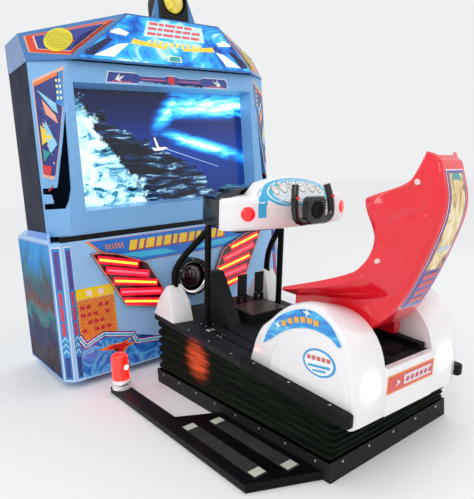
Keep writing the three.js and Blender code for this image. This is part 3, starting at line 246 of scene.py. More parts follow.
def tread_plate():
    """Chequered steel plate, worn bright on its ribs."""
    n = Nodes("steel_tread_plate")
    waves = []
    for turn in (math.radians(45), math.radians(-45)):
        wave = n.tree.nodes.new("ShaderNodeTexWave")
        n.set(wave, Scale=24, Distortion=0)
        n.link(n.mapping(turn=(0, 0, turn)), wave.inputs["Vector"])
        waves.append(n.remap(wave.outputs["Fac"], 0.55, 0.8, 0, 1))
    ribs = n.math("MULTIPLY", *waves)
    n.link(n.mix(n.math("MULTIPLY", ribs, n.noise(40, 3)), linear("#4d4238"), linear("#b9ada2")),
           n.shader.inputs["Base Color"])
    n.shader.inputs["Metallic"].default_value = 0.7
    n.link(n.remap(n.noise(50, 3), 0.3, 0.7, 0.3, 0.5), n.shader.inputs["Roughness"])
    n.bump(ribs, 0.8, 0.002)
    return n.material


_inks = {}


def ink(code, glow=0.0):
    """Printed film of one colour, with the tone drift and gloss of a screen print."""
    if (code, glow) not in _inks:
        kind = "glow" if glow else "ink"
        name = f"{kind}_{code[1:]}" + (f"_{int(glow * 10)}" if glow else "")
        _inks[code, glow] = coat(name, code, 0.07, 26, (0.22, 0.34), 0.04, 800, 0.0, 0.3, glow)
    return _inks[code, glow]


def side_mural():
    """The faded multicoloured print of the cabinet sides: glossy blue at the shoulder, dark below."""
    n = Nodes("film_side_mural")
    separate = n.tree.nodes.new("ShaderNodeSeparateXYZ")
    n.link(n.mapping(), separate.inputs[0])
    height = n.remap(separate.outputs["Z"], 0.05, 0.93, 0, 1)
    drift = n.remap(n.noise(3.4, 5, 0.62, None, 1.2), 0.25, 0.75, -0.17, 0.17)
    place = n.math("ADD", height, drift)
    colors = ["#161c3c", "#3a2230", "#1a2a5c", "#1f2c57", "#2f7f86", "#6f3d3c", "#3e4a5c", "#2d6f80",
              "#2183c8", "#2f97de"]
    stops = [(0.02 + 0.95 * i / (len(colors) - 1), linear(c)) for i, c in enumerate(colors)]
    n.link(n.ramp(place, stops), n.shader.inputs["Base Color"])
    n.link(n.remap(n.noise(12, 4), 0.3, 0.7, 0.36, 0.52), n.shader.inputs["Roughness"])
    n.shader.inputs["Specular IOR Level"].default_value = 0.1
    n.bump(n.noise(700, 2), 0.05, 0.0005)
    return n.material


def crescent_film():
    """Deep blue running to bright cyan along the fender print, with brushed streaks."""
    n = Nodes("film_crescent")
    flow = n.noise(1.0, 4, 0.6, n.mapping((4, 4, 16)), 1.4)
    n.link(n.ramp(flow, [(0.34, linear("#1a72d6")), (0.48, linear("#2aa2e8")), (0.6, linear("#62d2f2")),
                         (0.72, linear("#2288dc"))]), n.shader.inputs["Base Color"])
    n.shader.inputs["Roughness"].default_value = 0.26
    n.shader.inputs["Coat Weight"].default_value = 0.4
    n.bump(n.noise(700, 2), 0.05, 0.0005)
    return n.material


def swirl_film():
    """Cyan and blue eddies along the foot of the cabinet."""
    n = Nodes("film_blue_swirl")
    flow = n.noise(5.5, 3, 0.5, None, 2.2)
    n.link(n.ramp(flow, [(0.35, linear("#1c58b8")), (0.47, linear("#2f86dd")), (0.52, linear("#67c3f2")),
                         (0.58, linear("#2b79d6")), (0.7, linear("#1d4fae"))]),
           n.shader.inputs["Base Color"])
    n.shader.inputs["Roughness"].default_value = 0.28
    n.shader.inputs["Coat Weight"].default_value = 0.3
    n.bump(n.noise(700, 2), 0.05, 0.0005)
    return n.material


def glow_line(n, distance, half_width):
    """1 on a line, falling to 0 at half_width from it."""
    return n.remap(n.math("ABSOLUTE", distance, 0), 0.0, half_width, 1, 0)


def screen_scene():
    """The lit picture: a night sky with curtains of light over an ice field and dark rock."""
    n = Nodes("screen_picture")
    low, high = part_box("screen_panel")
    separate = n.tree.nodes.new("ShaderNodeSeparateXYZ")
    n.link(n.mapping(move=tuple(-(low + high) / 2)), separate.inputs[0])
    x, z = separate.outputs["X"], separate.outputs["Z"]
    sky = n.ramp(n.remap(z, -0.37, 0.37, 0, 1), [
        (0.0, linear("#06245e")), (0.45, linear("#0a2f80")), (0.75, linear("#06184e")),
        (1.0, linear("#030a2a"))])
    # Two curtains meet near the middle and open to the right, torn by stretched noise.
    veil = n.noise(1.0, 5, 0.6, n.mapping((3.2, 1, 13), (0, math.radians(-14), 0)), 0.7)
    bend = n.math("MULTIPLY", n.math("MAXIMUM", n.math("SUBTRACT", 0.06, x), 0), 0.95)
    upper = glow_line(n, n.math("SUBTRACT", n.math("ADD", z, bend), 0.29), 0.13)
    upper = n.math("MULTIPLY", upper, n.remap(x, -0.16, 0.02, 0, 1))
    lower = glow_line(n, n.math("SUBTRACT", n.math("ADD", z, n.math("MULTIPLY", x, 0.27)), 0.08), 0.075)
    lower = n.math("MULTIPLY", lower, n.remap(x, -0.12, 0.1, 0, 0.85))
    glow = n.math("MULTIPLY", n.math("MAXIMUM", upper, lower), n.remap(veil, 0.3, 0.62, 0.25, 1.25))
    lights = n.ramp(glow, [(0.0, linear("#05174a")), (0.25, linear("#0d55b4")), (0.5, linear("#22a9e2")),
                           (0.75, linear("#7ce9f4")), (0.95, linear("#e6ffff"))])
    sky = n.mix(n.remap(glow, 0.02, 0.3, 0, 1), sky, lights)
    # The ice field lies left of a steep shore; dark rock with blown snow lies between it and the sky.
    ragged = n.remap(n.noise(6, 6, 0.65), 0.25, 0.75, -0.14, 0.14)
    beyond = n.math("ADD", n.math("ADD", z, n.math("MULTIPLY", x, 0.62)), ragged)
    streaks = n.noise(1.0, 6, 0.66, n.mapping((5, 1, 26), (0, math.radians(42), 0)), 0.5)
    rock = n.ramp(streaks, [(0.46, linear("#020716")), (0.56, linear("#12355e")), (0.66, linear("#9ccbdc")),
                            (0.8, linear("#e8fbff"))])
    picture = n.mix(n.remap(beyond, -0.05, -0.075, 0, 1), sky, rock)
    shore = n.math("ADD", n.math("MULTIPLY", n.math("ADD", x, 0.43), 1.5), n.math("SUBTRACT", z, 0.03))
    shore = n.math("ADD", shore, n.math("MULTIPLY", ragged, 1.3))
    ice = n.ramp(n.noise(4.5, 7, 0.68, n.mapping((1, 1, 2.2), (0, math.radians(48), 0)), 0.8), [
        (0.36, linear("#041028")), (0.43, linear("#2b7ea3")), (0.5, linear("#b4e4ee")),
        (0.68, linear("#f0fcff"))])
    picture = n.mix(n.remap(shore, 0.0, -0.05, 0, 1), picture, ice)
    n.link(picture, n.shader.inputs["Base Color"])
    n.link(picture, n.shader.inputs["Emission Color"])
    n.shader.inputs["Emission Strength"].default_value = 0.85
    n.shader.inputs["Roughness"].default_value = 0.16
    n.bump(n.noise(1600, 1), 0.02, 0.0003)
    return n.material


def marquee_scene():
    """Backlit print: sky-blue glow broken by pale cloud shapes."""
    n = Nodes("marquee_backlit")
    cloud = n.noise(4.2, 4, 0.55, n.mapping((1, 1, 1.6)), 1.0)
    tone = n.ramp(cloud, [(0.32, linear("#0a2f8a")), (0.45, linear("#1474d0")), (0.56, linear("#38b2ee")),
                          (0.68, linear("#d6f2fa"))])
    n.link(tone, n.shader.inputs["Base Color"])
    n.link(tone, n.shader.inputs["Emission Color"])
    n.shader.inputs["Emission Strength"].default_value = 0.55
    n.shader.inputs["Roughness"].default_value = 0.2
    n.bump(n.noise(900, 2), 0.03, 0.0004)
    return n.material


# ---------------------------------------------------------------- mesh building
def piece(name, mesh, material, body, smooth=False):
    obj = bpy.data.objects.new(name, mesh)
    bpy.context.scene.collection.objects.link(obj)
    mesh.materials.clear()
    mesh.materials.append(material)
    if smooth:
        mesh.shade_smooth()
    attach(obj, body)
    return obj


def to_mesh(name, bm):
    bmesh.ops.remove_doubles(bm, verts=bm.verts, dist=1e-6)
    bmesh.ops.recalc_face_normals(bm, faces=bm.faces)
    mesh = bpy.data.meshes.new(name)
    bm.to_mesh(mesh)
    bm.free()
    return mesh


def bake_modifiers(obj):
    """Turns the object's modifiers into plain mesh."""
    graph = bpy.context.evaluated_depsgraph_get()
    mesh = bpy.data.meshes.new_from_object(obj.evaluated_get(graph))
    obj.modifiers.clear()
    obj.data = mesh


_trees = {}
SAME_FACE = math.radians(40)         # triangles this close to level join into one face
HARD_EDGE = math.radians(55)         # edges sharper than this stay crisp when subdivided
HARD_CREASE = 0.5
BEVEL_EDGE = math.radians(32)
SHADING_EDGE = math.radians(38)


def tree_of(mesh):
    return BVHTree.FromPolygons([v.co for v in mesh.vertices], [tuple(p.vertices) for p in mesh.polygons])


def moulded_copy(node, name, material, body, edge=0.003, levels=0):
    """A smooth-shaded copy of a moulded CAD shell, which it replaces.

    levels subdivides a coarse loft. Without it the edges get a bevel of up to edge, which small triangles
    beside them make smaller. Both keep a thin wall closed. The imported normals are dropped, because they
    would go on shading the old shape.
    """
    mesh = NODES[node].data.copy()
    if "custom_normal" in mesh.attributes:
        mesh.attributes.remove(mesh.attributes["custom_normal"])
    bm = bmesh.new()
    bm.from_mesh(mesh)
    bmesh.ops.remove_doubles(bm, verts=bm.verts, dist=1e-5)
    if levels:
        bmesh.ops.join_triangles(bm, faces=bm.faces, angle_face_threshold=SAME_FACE,
                                 angle_shape_threshold=SAME_FACE)
        crease = bm.edges.layers.float.new("crease_edge")
        for e in bm.edges:
            if e.is_manifold and e.calc_face_angle() > HARD_EDGE:
                e[crease] = HARD_CREASE
    bm.to_mesh(mesh)
    bm.free()
    obj = piece(name, mesh, material, body)
    if levels:
        skin = obj.modifiers.new("skin", "SUBSURF")
        skin.levels = skin.render_levels = levels
    else:
        bevel = obj.modifiers.new("rounded", "BEVEL")
        bevel.width = edge
        bevel.segments = 3
        bevel.limit_method = "ANGLE"
        bevel.angle_limit = BEVEL_EDGE
    bake_modifiers(obj)
    obj.data.materials.clear()
    obj.data.materials.append(material)
    obj.data.shade_smooth()
    obj.data.set_sharp_from_angle(angle=SHADING_EDGE)
    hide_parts(node)
    _trees[node] = tree_of(obj.data)
    return obj


def surface_of(node):
    if node not in _trees:
        _trees[node] = tree_of(NODES[node].data)
    return _trees[node]


def film(name, outlines, place, inward, node, material, body, slot, lift=LIFT, step=0.03, thick=0.0007,
         away=None):
    """A printed film cut to 2D outlines, laid on a CAD node by sliding each point inward onto it.

    outlines are closed lists of (u, v); place turns (u, v) into a point in front of the surface.
    away is the one direction that stacked films on a curved face all stand off along.
    """
    tree = surface_of(node)
    bm = bmesh.new()
    for points in outlines:
        ring = [bm.verts.new(place(u, v)) for u, v in points]
        bm.faces.new(ring)
    bmesh.ops.triangulate(bm, faces=bm.faces)
    for _ in range(7):
        long_edges = [e for e in bm.edges if e.calc_length() > step]
        if not long_edges:
            break
        bmesh.ops.subdivide_edges(bm, edges=long_edges, cuts=1)
        bmesh.ops.triangulate(bm, faces=[f for f in bm.faces if len(f.verts) > 3])
    toward = inward.normalized()
    for v in bm.verts:
        hit, normal, _, _ = tree.ray_cast(v.co, toward)
        if hit is None:
            hit, normal, _, _ = tree.find_nearest(v.co)
        if normal.dot(toward) > 0:
            normal = -normal
        v.co = hit + (away or normal) * lift
    for f in bm.faces:
        f.normal_update()
        if f.normal.dot(toward) > 0:
            f.normal_flip()
    mesh = bpy.data.meshes.new(name)
    bm.to_mesh(mesh)
    bm.free()
    obj = piece(name, mesh, material, body)
    solid = obj.modifiers.new("thickness", "SOLIDIFY")
    solid.thickness = thick
    solid.offset = -1
    bake_modifiers(obj)
    return obj


def cabinet_film(name, outlines, node, material, slot="printed_board", lift=LIFT, body="cabinet"):
    """Film on the front of the screen cabinet; outlines in (x, z) millimetres."""
    return film(name, outlines, lambda x, z: cab(x, -400, z), Vector((0, 1, 0)), node, material,
                body, slot, lift)


def console_film(name, outlines, material, lift=LIFT, node="console_shell"):
    """Film on the player's side of the console; outlines in platform (x, z) millimetres."""
    return film(name, outlines, lambda x, z: plat(x, -420, z), ALONG, node, material,
                "platform", "white_frp", lift, 0.02, away=(UPRIGHT - ALONG).normalized())


def mirrored(outlines):
    return [[(-x, z) for x, z in reversed(points)] for points in outlines]


def both(outlines):
    return outlines + mirrored(outlines)


def band(points, width, closed=False):
    """A strip of even width along a polyline, as a list of four-cornered outlines."""
    pairs = list(zip(points, points[1:] + points[:1])) if closed else list(zip(points, points[1:]))
    strips = []
    for (x0, z0), (x1, z1) in pairs:
        length = math.hypot(x1 - x0, z1 - z0)
        ux, uz = (x1 - x0) / length, (z1 - z0) / length
        nx, nz = -uz * width / 2, ux * width / 2
        ex, ez = ux * width * 0.35, uz * width * 0.35
        strips.append([(x0 - ex + nx, z0 - ez + nz), (x0 - ex - nx, z0 - ez - nz),
                       (x1 + ex - nx, z1 + ez - nz), (x1 + ex + nx, z1 + ez + nz)])
    return strips


def disc(x, z, rx, rz=None, count=36, turn=0.0):
    rz = rz or rx
    points = []
    for i in range(count):
        a = 2 * math.pi * i / count
        u, v = rx * math.cos(a), rz * math.sin(a)
        points.append((x + u * math.cos(turn) - v * math.sin(turn),
                       z + u * math.sin(turn) + v * math.cos(turn)))
    return points


def rect(x0, x1, z0, z1):
    return [(x0, z0), (x1, z0), (x1, z1), (x0, z1)]


def inset_polygon(points, share):
    """The outline shrunk towards its middle."""
    mx = sum(p[0] for p in points) / len(points)
    mz = sum(p[1] for p in points) / len(points)
    return [(mx + (x - mx) * share, mz + (z - mz) * share) for x, z in points]


def lathe(name, profile, centre, axis, material, body, count=40):
    """A turned solid from (radius, height) pairs, along axis from centre, in metres."""
    axis = Vector(axis).normalized()
    side = axis.orthogonal().normalized()
    other = axis.cross(side)
    bm = bmesh.new()
    rings = []
    for radius, height in profile:
        if radius < 1e-6:
            rings.append([bm.verts.new(centre + axis * height)])
        else:
            turns = [2 * math.pi * i / count for i in range(count)]
            rings.append([bm.verts.new(centre + axis * height
                                       + (side * math.cos(t) + other * math.sin(t)) * radius) for t in turns])
    for a, b in zip(rings, rings[1:]):
        for i in range(count):
            k = (i + 1) % count
            corners = [a[i % len(a)], a[k % len(a)], b[k % len(b)], b[i % len(b)]]
            corners = list(dict.fromkeys(corners))
            if len(corners) > 2:
                bm.faces.new(corners)
    obj = piece(name, to_mesh(name, bm), material, body, True)
    return obj


def sweep(name, points, radius, material, body, closed=False, count=16, parts=8):
    """A round bar along a smooth line through the given points, in metres."""
    curve = bpy.data.curves.new(name, "CURVE")
    curve.dimensions = "3D"
    curve.bevel_depth = radius
    curve.bevel_resolution = count // 4
    curve.resolution_u = parts
    curve.use_fill_caps = True
    spline = curve.splines.new("BEZIER")
    spline.bezier_points.add(len(points) - 1)
    for handle, point in zip(spline.bezier_points, points):
        handle.co = point
        handle.handle_left_type = handle.handle_right_type = "AUTO"
    spline.use_cyclic_u = closed
    temporary = bpy.data.objects.new(name + "_line", curve)
    bpy.context.scene.collection.objects.link(temporary)
    graph = bpy.context.evaluated_depsgraph_get()
    mesh = bpy.data.meshes.new_from_object(temporary.evaluated_get(graph))
    bpy.data.objects.remove(temporary)
    return piece(name, mesh, material, body, True)


def screws(name, places, outward, radius, material, body):
    """Domed screw heads with a sunk middle, joined into one piece."""
    outward = Vector(outward).normalized()
    side = outward.orthogonal().normalized()
    other = outward.cross(side)
    profile = [(1.0, 0.0), (1.0, 0.18), (0.8, 0.38), (0.5, 0.5)]
    count = 12
    bm = bmesh.new()
    for place in places:
        rings = []
        for r, h in profile:
            turns = [2 * math.pi * i / count for i in range(count)]
            rings.append([bm.verts.new(place + outward * h * radius
                                       + (side * math.cos(t) + other * math.sin(t)) * r * radius)
                          for t in turns])
        for a, b in zip(rings, rings[1:]):
            for i in range(count):
                k = (i + 1) % count
                bm.faces.new((a[i], a[k], b[k], b[i]))
        sunk = bm.verts.new(place + outward * 0.25 * radius)
        for i in range(count):
            bm.faces.new((rings[-1][i], rings[-1][(i + 1) % count], sunk))
        bm.faces.new(list(reversed(rings[0])))
    return piece(name, to_mesh(name, bm), material, body)


def paint(material, *names):
    for name in names:
        data = NODES[name].data
        data.materials.clear()
        data.materials.append(material)


def round_edges(width, *names):
    """Softens the hard edges of carried-over CAD nodes."""
    for name in names:
        bevel = NODES[name].modifiers.new("soft_edges", "BEVEL")
        bevel.width = width
        bevel.segments = 2
        bevel.limit_method = "ANGLE"
        bevel.angle_limit = math.radians(40)
        bevel.harden_normals = False


# ---------------------------------------------------------------- screen cabinet, lower part
FRONT_LAYERS = [LIFT * k for k in (1, 2, 3, 4, 5)]
TITLE_STRIP = [(-716, 918), (-638, 848), (-349, 740), (349, 740), (638, 848), (716, 918)]
LAMP_WINDOW = [(-693, 840), (-638, 845), (-526, 821), (-348, 748), (-313, 728),
               (-209, 536), (-209, 501), (-244, 409), (-492, 469)]
FOOT_LINE = [(-812, 326), (-778, 265), (-654, 312), (-455, 262), (-431, 207), (-150, 174), (0, 174)]


def title_strip():
    """Cyan band under the screen with slanted blocks where the real machine has its name."""
    cabinet_film("title_edge", [TITLE_STRIP], "lower_cabinet", ink("#f2934a"), lift=FRONT_LAYERS[0])
    cabinet_film("title_field", [inset_polygon(TITLE_STRIP, 0.965)], "lower_cabinet", ink("#2176d4"),
                 lift=FRONT_LAYERS[1])
    sweeps = [[(-520, 812), (-340, 765), (-60, 765), (-160, 800)],
              [(60, 765), (330, 765), (510, 812), (180, 800)]]
    cabinet_film("title_sweeps", sweeps, "lower_cabinet", ink("#3fc0ea"), lift=FRONT_LAYERS[2])
    blocks = []
    x = -430
    for width in (52, 34, 60, 40, 54, 30, 62, 44, 36, 58, 40, 56):
        blocks.append([(x, 826), (x + width, 826), (x + width + 18, 890), (x + 18, 890)])
        x += width + 18
    cabinet_film("title_block_shadow", [[(u + 8, v - 8) for u, v in b] for b in blocks], "lower_cabinet",
                 ink("#c92a2a"), lift=FRONT_LAYERS[2])
    cabinet_film("title_blocks", blocks, "lower_cabinet", ink("#f5cf3a"), lift=FRONT_LAYERS[3])
    ticks = [[(s * (465 + 22 * i) - 5, 850), (s * (465 + 22 * i) + 5, 850),
              (s * (475 + 22 * i) + 5, 885), (s * (475 + 22 * i) - 5, 885)]
             for i in range(6) for s in (-1, 1)]
    cabinet_film("title_ticks", [t if t[0][0] < t[1][0] else t[::-1] for t in ticks], "lower_cabinet",
                 ink("#f08a2c"), lift=FRONT_LAYERS[2])


def lamp_windows():
    """Dark wing windows with glowing bars, and their thin bright surround."""
    paint(coat("lens_window_dark", "#3a0c14", 0.35, 18, (0.08, 0.2), 0.08, 300, 0.0, 0.8, 0.15),
          "light_box_left", "light_box_right")
    bars = [((-640, 797), (-395, 733)), ((-592, 722), (-325, 655)), ((-548, 645), (-268, 585)),
            ((-510, 565), (-238, 520)), ((-495, 500), (-245, 450))]
    for side, flip in (("left", lambda o: o), ("right", mirrored)):
        node = f"light_box_{side}"
        halo = flip([s for a, b in bars for s in band([a, b], 50)])
        core = flip([s for a, b in (bars[0], bars[2], bars[4]) for s in band([a, b], 15)])
        pink = flip([s for a, b in (bars[1], bars[3]) for s in band([a, b], 14)])
        cabinet_film(f"window_halo_{side}", halo, node, ink("#d4122e", 0.9), "lit_red_lens", LIFT)
        cabinet_film(f"window_core_{side}", core, node, ink("#ffc038", 1.6), "lit_red_lens", 2 * LIFT)
        cabinet_film(f"window_pink_{side}", pink, node, ink("#ff5a6e", 1.1), "lit_red_lens", 2 * LIFT)
        rim = flip(band(inset_polygon(LAMP_WINDOW, 0.985), 9, True))
        cabinet_film(f"window_rim_{side}", rim, node, ink("#e98a6a"), "lit_red_lens", LIFT)


def notice_card():
    """A plain striped card on the front of the lower cabinet."""
    cabinet_film("card_field", [rect(-810, -558, 300, 560)], "lower_cabinet", ink("#e8a33a"),
                 lift=FRONT_LAYERS[0])
    stripes = []
    for i in range(-10, 14):
        x = -810 + i * 25
        points = []
        for u, v in ((x, 302), (x + 12, 302), (x + 262, 558), (x + 250, 558)):
            points.append((u, v))
        low_u, high_u = -806, -562
        shear = 250 / 256
        v0 = max(302, 302 + (low_u - x) / shear)
        v1 = min(558, 302 + (high_u - x - 12) / shear)
        if v1 > v0 + 4:
            stripes.append([(x + (v0 - 302) * shear, v0), (x + 12 + (v0 - 302) * shear, v0),
                            (x + 12 + (v1 - 302) * shear, v1), (x + (v1 - 302) * shear, v1)])
    cabinet_film("card_stripes", stripes, "lower_cabinet", ink("#dd5a3c"), lift=FRONT_LAYERS[1])
    cabinet_film("card_head", [rect(-810, -558, 562, 631)], "lower_cabinet", ink("#f7d416"),
                 lift=FRONT_LAYERS[0])
    marks = [rect(-742, -706, 578, 614), rect(-664, -628, 578, 614)]
    cabinet_film("card_marks", marks, "lower_cabinet", ink("#f6dcd6"), lift=FRONT_LAYERS[1])
    rows = [rect(-790 + 40 * i, -762 + 40 * i, z, z + 22) for z in (500, 450, 400, 350) for i in range(5)
            if (i + z // 50) % 4]
    cabinet_film("card_rows", rows, "lower_cabinet", ink("#c8303c"), lift=FRONT_LAYERS[2])


def foot_art():
    """Swirled blue foot with a purple, white and cyan border."""
    swirl = FOOT_LINE + [(0, 62), (-800, 62), (-845, 120)]
    cabinet_film("foot_swirl", both([swirl]), "lower_cabinet", swirl_film(), lift=FRONT_LAYERS[0])
    for width, code, layer in ((40, "#7a3f98", 1), (24, "#f3f4fa", 2), (12, "#36b4e4", 3)):
        cabinet_film(f"foot_border_{width}", both(band(FOOT_LINE, width)), "lower_cabinet", ink(code),
                     lift=FRONT_LAYERS[layer])
    flame = [(-700, 212), (-620, 232), (-540, 226), (-470, 246), (-500, 214), (-430, 208),
             (-500, 188), (-560, 130), (-560, 176), (-620, 196)]
    cabinet_film("foot_flame", both([flame]), "lower_cabinet", ink("#ef8a2c"), lift=FRONT_LAYERS[1])
    cabinet_film("foot_flame_core", both([inset_polygon(flame, 0.72)]), "lower_cabinet", ink("#d6202c"),
                 lift=FRONT_LAYERS[2])


def edge_strips():
    """Upright cyan and purple strips on the chamfer and beside it."""
    for name, x0, x1 in (("chamfer", -914, -868), ("front", -852, -806)):
        cabinet_film(f"edge_{name}_line", both([rect(x0, x1, 60, 905)]), "lower_cabinet", ink("#e9f3fb"),
                     lift=FRONT_LAYERS[0])
        cabinet_film(f"edge_{name}_cyan", both([rect(x0 + 4, x1 - 4, 66, 899)]), "lower_cabinet",
                     ink("#2f86d0"), lift=FRONT_LAYERS[1])
        middle = (x0 + x1) / 2
        purple = [rect(middle - 11, middle + 11, 640, 880)]
        red = [rect(middle - 8, middle + 8, z, z + 84) for z in (350, 445, 540)]
        navy = [rect(middle - 11, middle + 11, 80, 210)]
        chevrons = [[(x0 + 8, z), (middle, z + 26), (x1 - 8, z), (x1 - 8, z + 14), (middle, z + 40),
                     (x0 + 8, z + 14)] for z in (226, 266, 306)]
        cabinet_film(f"edge_{name}_purple", both(purple), "lower_cabinet", ink("#5a3b8e"),
                     lift=FRONT_LAYERS[2])
        cabinet_film(f"edge_{name}_red", both(red), "lower_cabinet", ink("#d8344e"), lift=FRONT_LAYERS[2])
        cabinet_film(f"edge_{name}_navy", both(navy), "lower_cabinet", ink("#1b3c86"), lift=FRONT_LAYERS[2])
        cabinet_film(f"edge_{name}_chevrons", both(chevrons), "lower_cabinet", ink("#8fdcf6"),
                     lift=FRONT_LAYERS[2])


def side_films():
    """Mural on both cabinet sides, with a glossy bright-blue shoulder above it."""
    for side, sign in (("left", -1), ("right", 1)):
        place = lambda y, z, s=sign: cab(s * 1200, y, z)
        inward = Vector((-sign, 0, 0))
        film(f"side_mural_{side}", [rect(72, 742, 62, 918)], place, inward, "lower_cabinet",
             SIDE_MURAL, "cabinet", "printed_board", LIFT, 0.08)
        film(f"side_edge_{side}", band([(74, 64), (740, 64), (740, 916), (74, 916)], 8, True), place,
             inward, "lower_cabinet", ink("#1d6fd0"), "cabinet", "printed_board", 2 * LIFT, 0.2)


SIDE_MURAL = side_mural()
CRESCENT_FILM = crescent_film()


def port():
    """Round port: black collar, pale rim and a glossy dark dome."""
    paint(BLACK, "port_ring")
    round_edges(0.003, "port_ring")
    low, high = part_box("port_ring")
    centre = Vector(((low.x + high.x) / 2, low.y, (low.z + high.z) / 2))
    out = Vector((0, -1, 0))
    lathe("port_rim", [(0.1145, -0.004), (0.1145, -0.016), (0.108, -0.0165), (0.098, -0.022),
                       (0.098, -0.026), (0.1145, -0.026), (0.1145, -0.004)], centre, out, CHROME,
          "cabinet", 56)
    profile = [(0.0, -0.070), (0.113, -0.070), (0.113, -0.060)]
    profile += [(0.096 * math.cos(a), -0.062 + 0.044 * math.sin(a))
                for a in [math.radians(10 * i) for i in range(0, 9)]] + [(0.0, -0.018)]
    # The dome's colour is dark glass with a painted red reflection mixed into it as a dark red tint.
    dome = lathe("port_dome_glass", profile, centre, out, coat(
        "glass_port_dark", "#2a1418", 0.5, 9, (0.03, 0.07), 0.02, 60, 0.0, 1.0), "cabinet",
        56)
    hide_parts("port_dome")
    screws("port_screws", [centre + Vector((0.1225 * math.cos(a), -0.0002, 0.1225 * math.sin(a)))
                           for a in [math.radians(30 + 60 * i) for i in range(6)]],
           out, 0.0055, STEEL, "cabinet")


def lower_cabinet():
    paint(PANEL_BLUE, "lower_cabinet")
    paint(BLACK_BOARD, "floor_skid_left", "floor_skid_right")
    paint(NAVY, "rear_door")
    paint(STEEL, "door_lock")
    round_edges(0.003, "lower_cabinet", "rear_door")
    title_strip()
    lamp_windows()
    notice_card()
    foot_art()
    edge_strips()
    side_films()
    port()
    for side, sign in (("left", -1), ("right", 1)):
        place = lambda x, y: cab(x, y, 1400)
        edges = [rect(-919, -907, 66, 535)] if sign < 0 else [rect(907, 919, 66, 535)]
        film(f"shoulder_gloss_{side}", edges, place, Vector((0, 0, -1)), "lower_cabinet", BRIGHT_BLUE,
             "cabinet", "printed_board", LIFT, 0.04)
    low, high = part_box("rear_door")
    hinge_x = low.x + 0.018
    places = [Vector((hinge_x, high.y + 0.0002, low.z + 0.06 + i * (high.z - low.z - 0.12) / 5))
              for i in range(6)]
    screws("door_screws", places, (0, 1, 0), 0.006, STEEL, "door")


# ---------------------------------------------------------------- screen cabinet, upper part
STICKER = [(-475, 1890), (-455, 1962), (-262, 1962), (-235, 1946), (-60, 1946), (-38, 1958), (38, 1958),
           (60, 1946), (235, 1946), (262, 1962), (455, 1962), (475, 1940), (475, 1890), (262, 1890),
           (235, 1906), (-235, 1906), (-262, 1890)]


def bezel_sticker():
    cabinet_film("sticker_outline", [STICKER], "front_bezel", ink("#e6ecf7"), "blue_metallic", LIFT)
    field = [(x * 0.985, 1926 + (z - 1926) * 0.84) for x, z in STICKER]
    cabinet_film("sticker_field", [field], "front_bezel", ink("#2a3f93"), "blue_metallic", 2 * LIFT)
    lines = both([rect(-230, -46, 1920, 1927), rect(-430, -300, 1898, 1905)])
    cabinet_film("sticker_lines", lines, "front_bezel", ink("#d65a70"), "blue_metallic", 3 * LIFT)
    blades = both([[(-412, 1912), (-376, 1952), (-384, 1926), (-340, 1940), (-376, 1912), (-372, 1896),
                    (-392, 1908)]])
    cabinet_film("sticker_blades", blades, "front_bezel", ink("#f4f4ee"), "blue_metallic", 3 * LIFT)
    cabinet_film("sticker_dot", [disc(0, 1926, 27)], "front_bezel", ink("#d9263a"), "blue_metallic",
                 3 * LIFT)


def wing_art():
    """Art down both swept wings of the bezel."""
    outline = [(-888, 1898), (-722, 1976), (-752, 1725), (-784, 1535), (-832, 1310), (-888, 1330)]
    layers = [
        ("line", [outline], "#e7b6a8"),
        ("field", [inset_polygon(outline, 0.93)], "#1d2c7c"),
        ("bar", [[(-880, 1885), (-760, 1944), (-760, 1922), (-880, 1862)]], "#ee7a26"),
        ("panel", [[(-752, 1940), (-730, 1950), (-748, 1740), (-782, 1760)]], "#2b86cf"),
        ("blade", [[(-872, 1845), (-782, 1760), (-776, 1700), (-800, 1722)],
                   [(-846, 1662), (-858, 1600), (-836, 1470), (-800, 1520)]], "#8fd0ee"),
        ("feather", [[(-852, 1790), (-790, 1690), (-782, 1640), (-838, 1700)]], "#f0a48c"),
        ("sail", [[(-872, 1640), (-820, 1560), (-872, 1520)]], "#f2d23c"),
        ("patch", [[(-872, 1500), (-838, 1470), (-872, 1420)]], "#2f9c98"),
        ("foot", [[(-878, 1405), (-838, 1390), (-846, 1335), (-878, 1345)]], "#d63238"),
    ]
    for index, (name, shapes, code) in enumerate(layers):
        cabinet_film(f"wing_{name}", both(shapes), "front_bezel", ink(code), "blue_metallic",
                     LIFT * min(index + 1, 3) + LIFT * 0.25 * max(index - 2, 0))
    cells = both([disc(-760 + 5 * (i % 2 * 2 - 1) * 1.6, 1790 + 34 * (i // 2), 5.5, 10, 8) for i in range(8)])
    cabinet_film("wing_cells", cells, "front_bezel", ink("#f3ecb4"), "blue_metallic", LIFT * 5)


def slit_glow():
    """Dull red light behind the slits in the wings."""
    for side, sign in (("left", -1), ("right", 1)):
        path = [(-757, 1705), (-792, 1530), (-842, 1275), (-870, 1245)]
        points = [cab(sign * -x, 92, z) for x, z in path]
        sweep(f"slit_tube_{side}", points, 0.006, coat(
            f"tube_red_{side}", "#8c1620", 0.2, 30, (0.2, 0.3), 0.05, 300, 0.0, 0.4, 0.7),
            "cabinet")


def screen():
    paint(screen_scene(), "screen_panel")
    craft = [[(-96, 1492), (-74, 1486), (-104, 1560), (-114, 1556)],
             [(-134, 1484), (-30, 1494), (-6, 1484), (-60, 1470), (-116, 1468)]]
    cabinet_film("screen_craft", craft, "screen_panel", ink("#d9d3cc", 0.8), "screen_glass", 0.0022)
    trail = [[(-20, 1482), (-20, 1477), (420, 1336), (420, 1339)]]
    cabinet_film("screen_trail", trail, "screen_panel", ink("#9fc6ea", 0.6), "screen_glass", 0.0022)


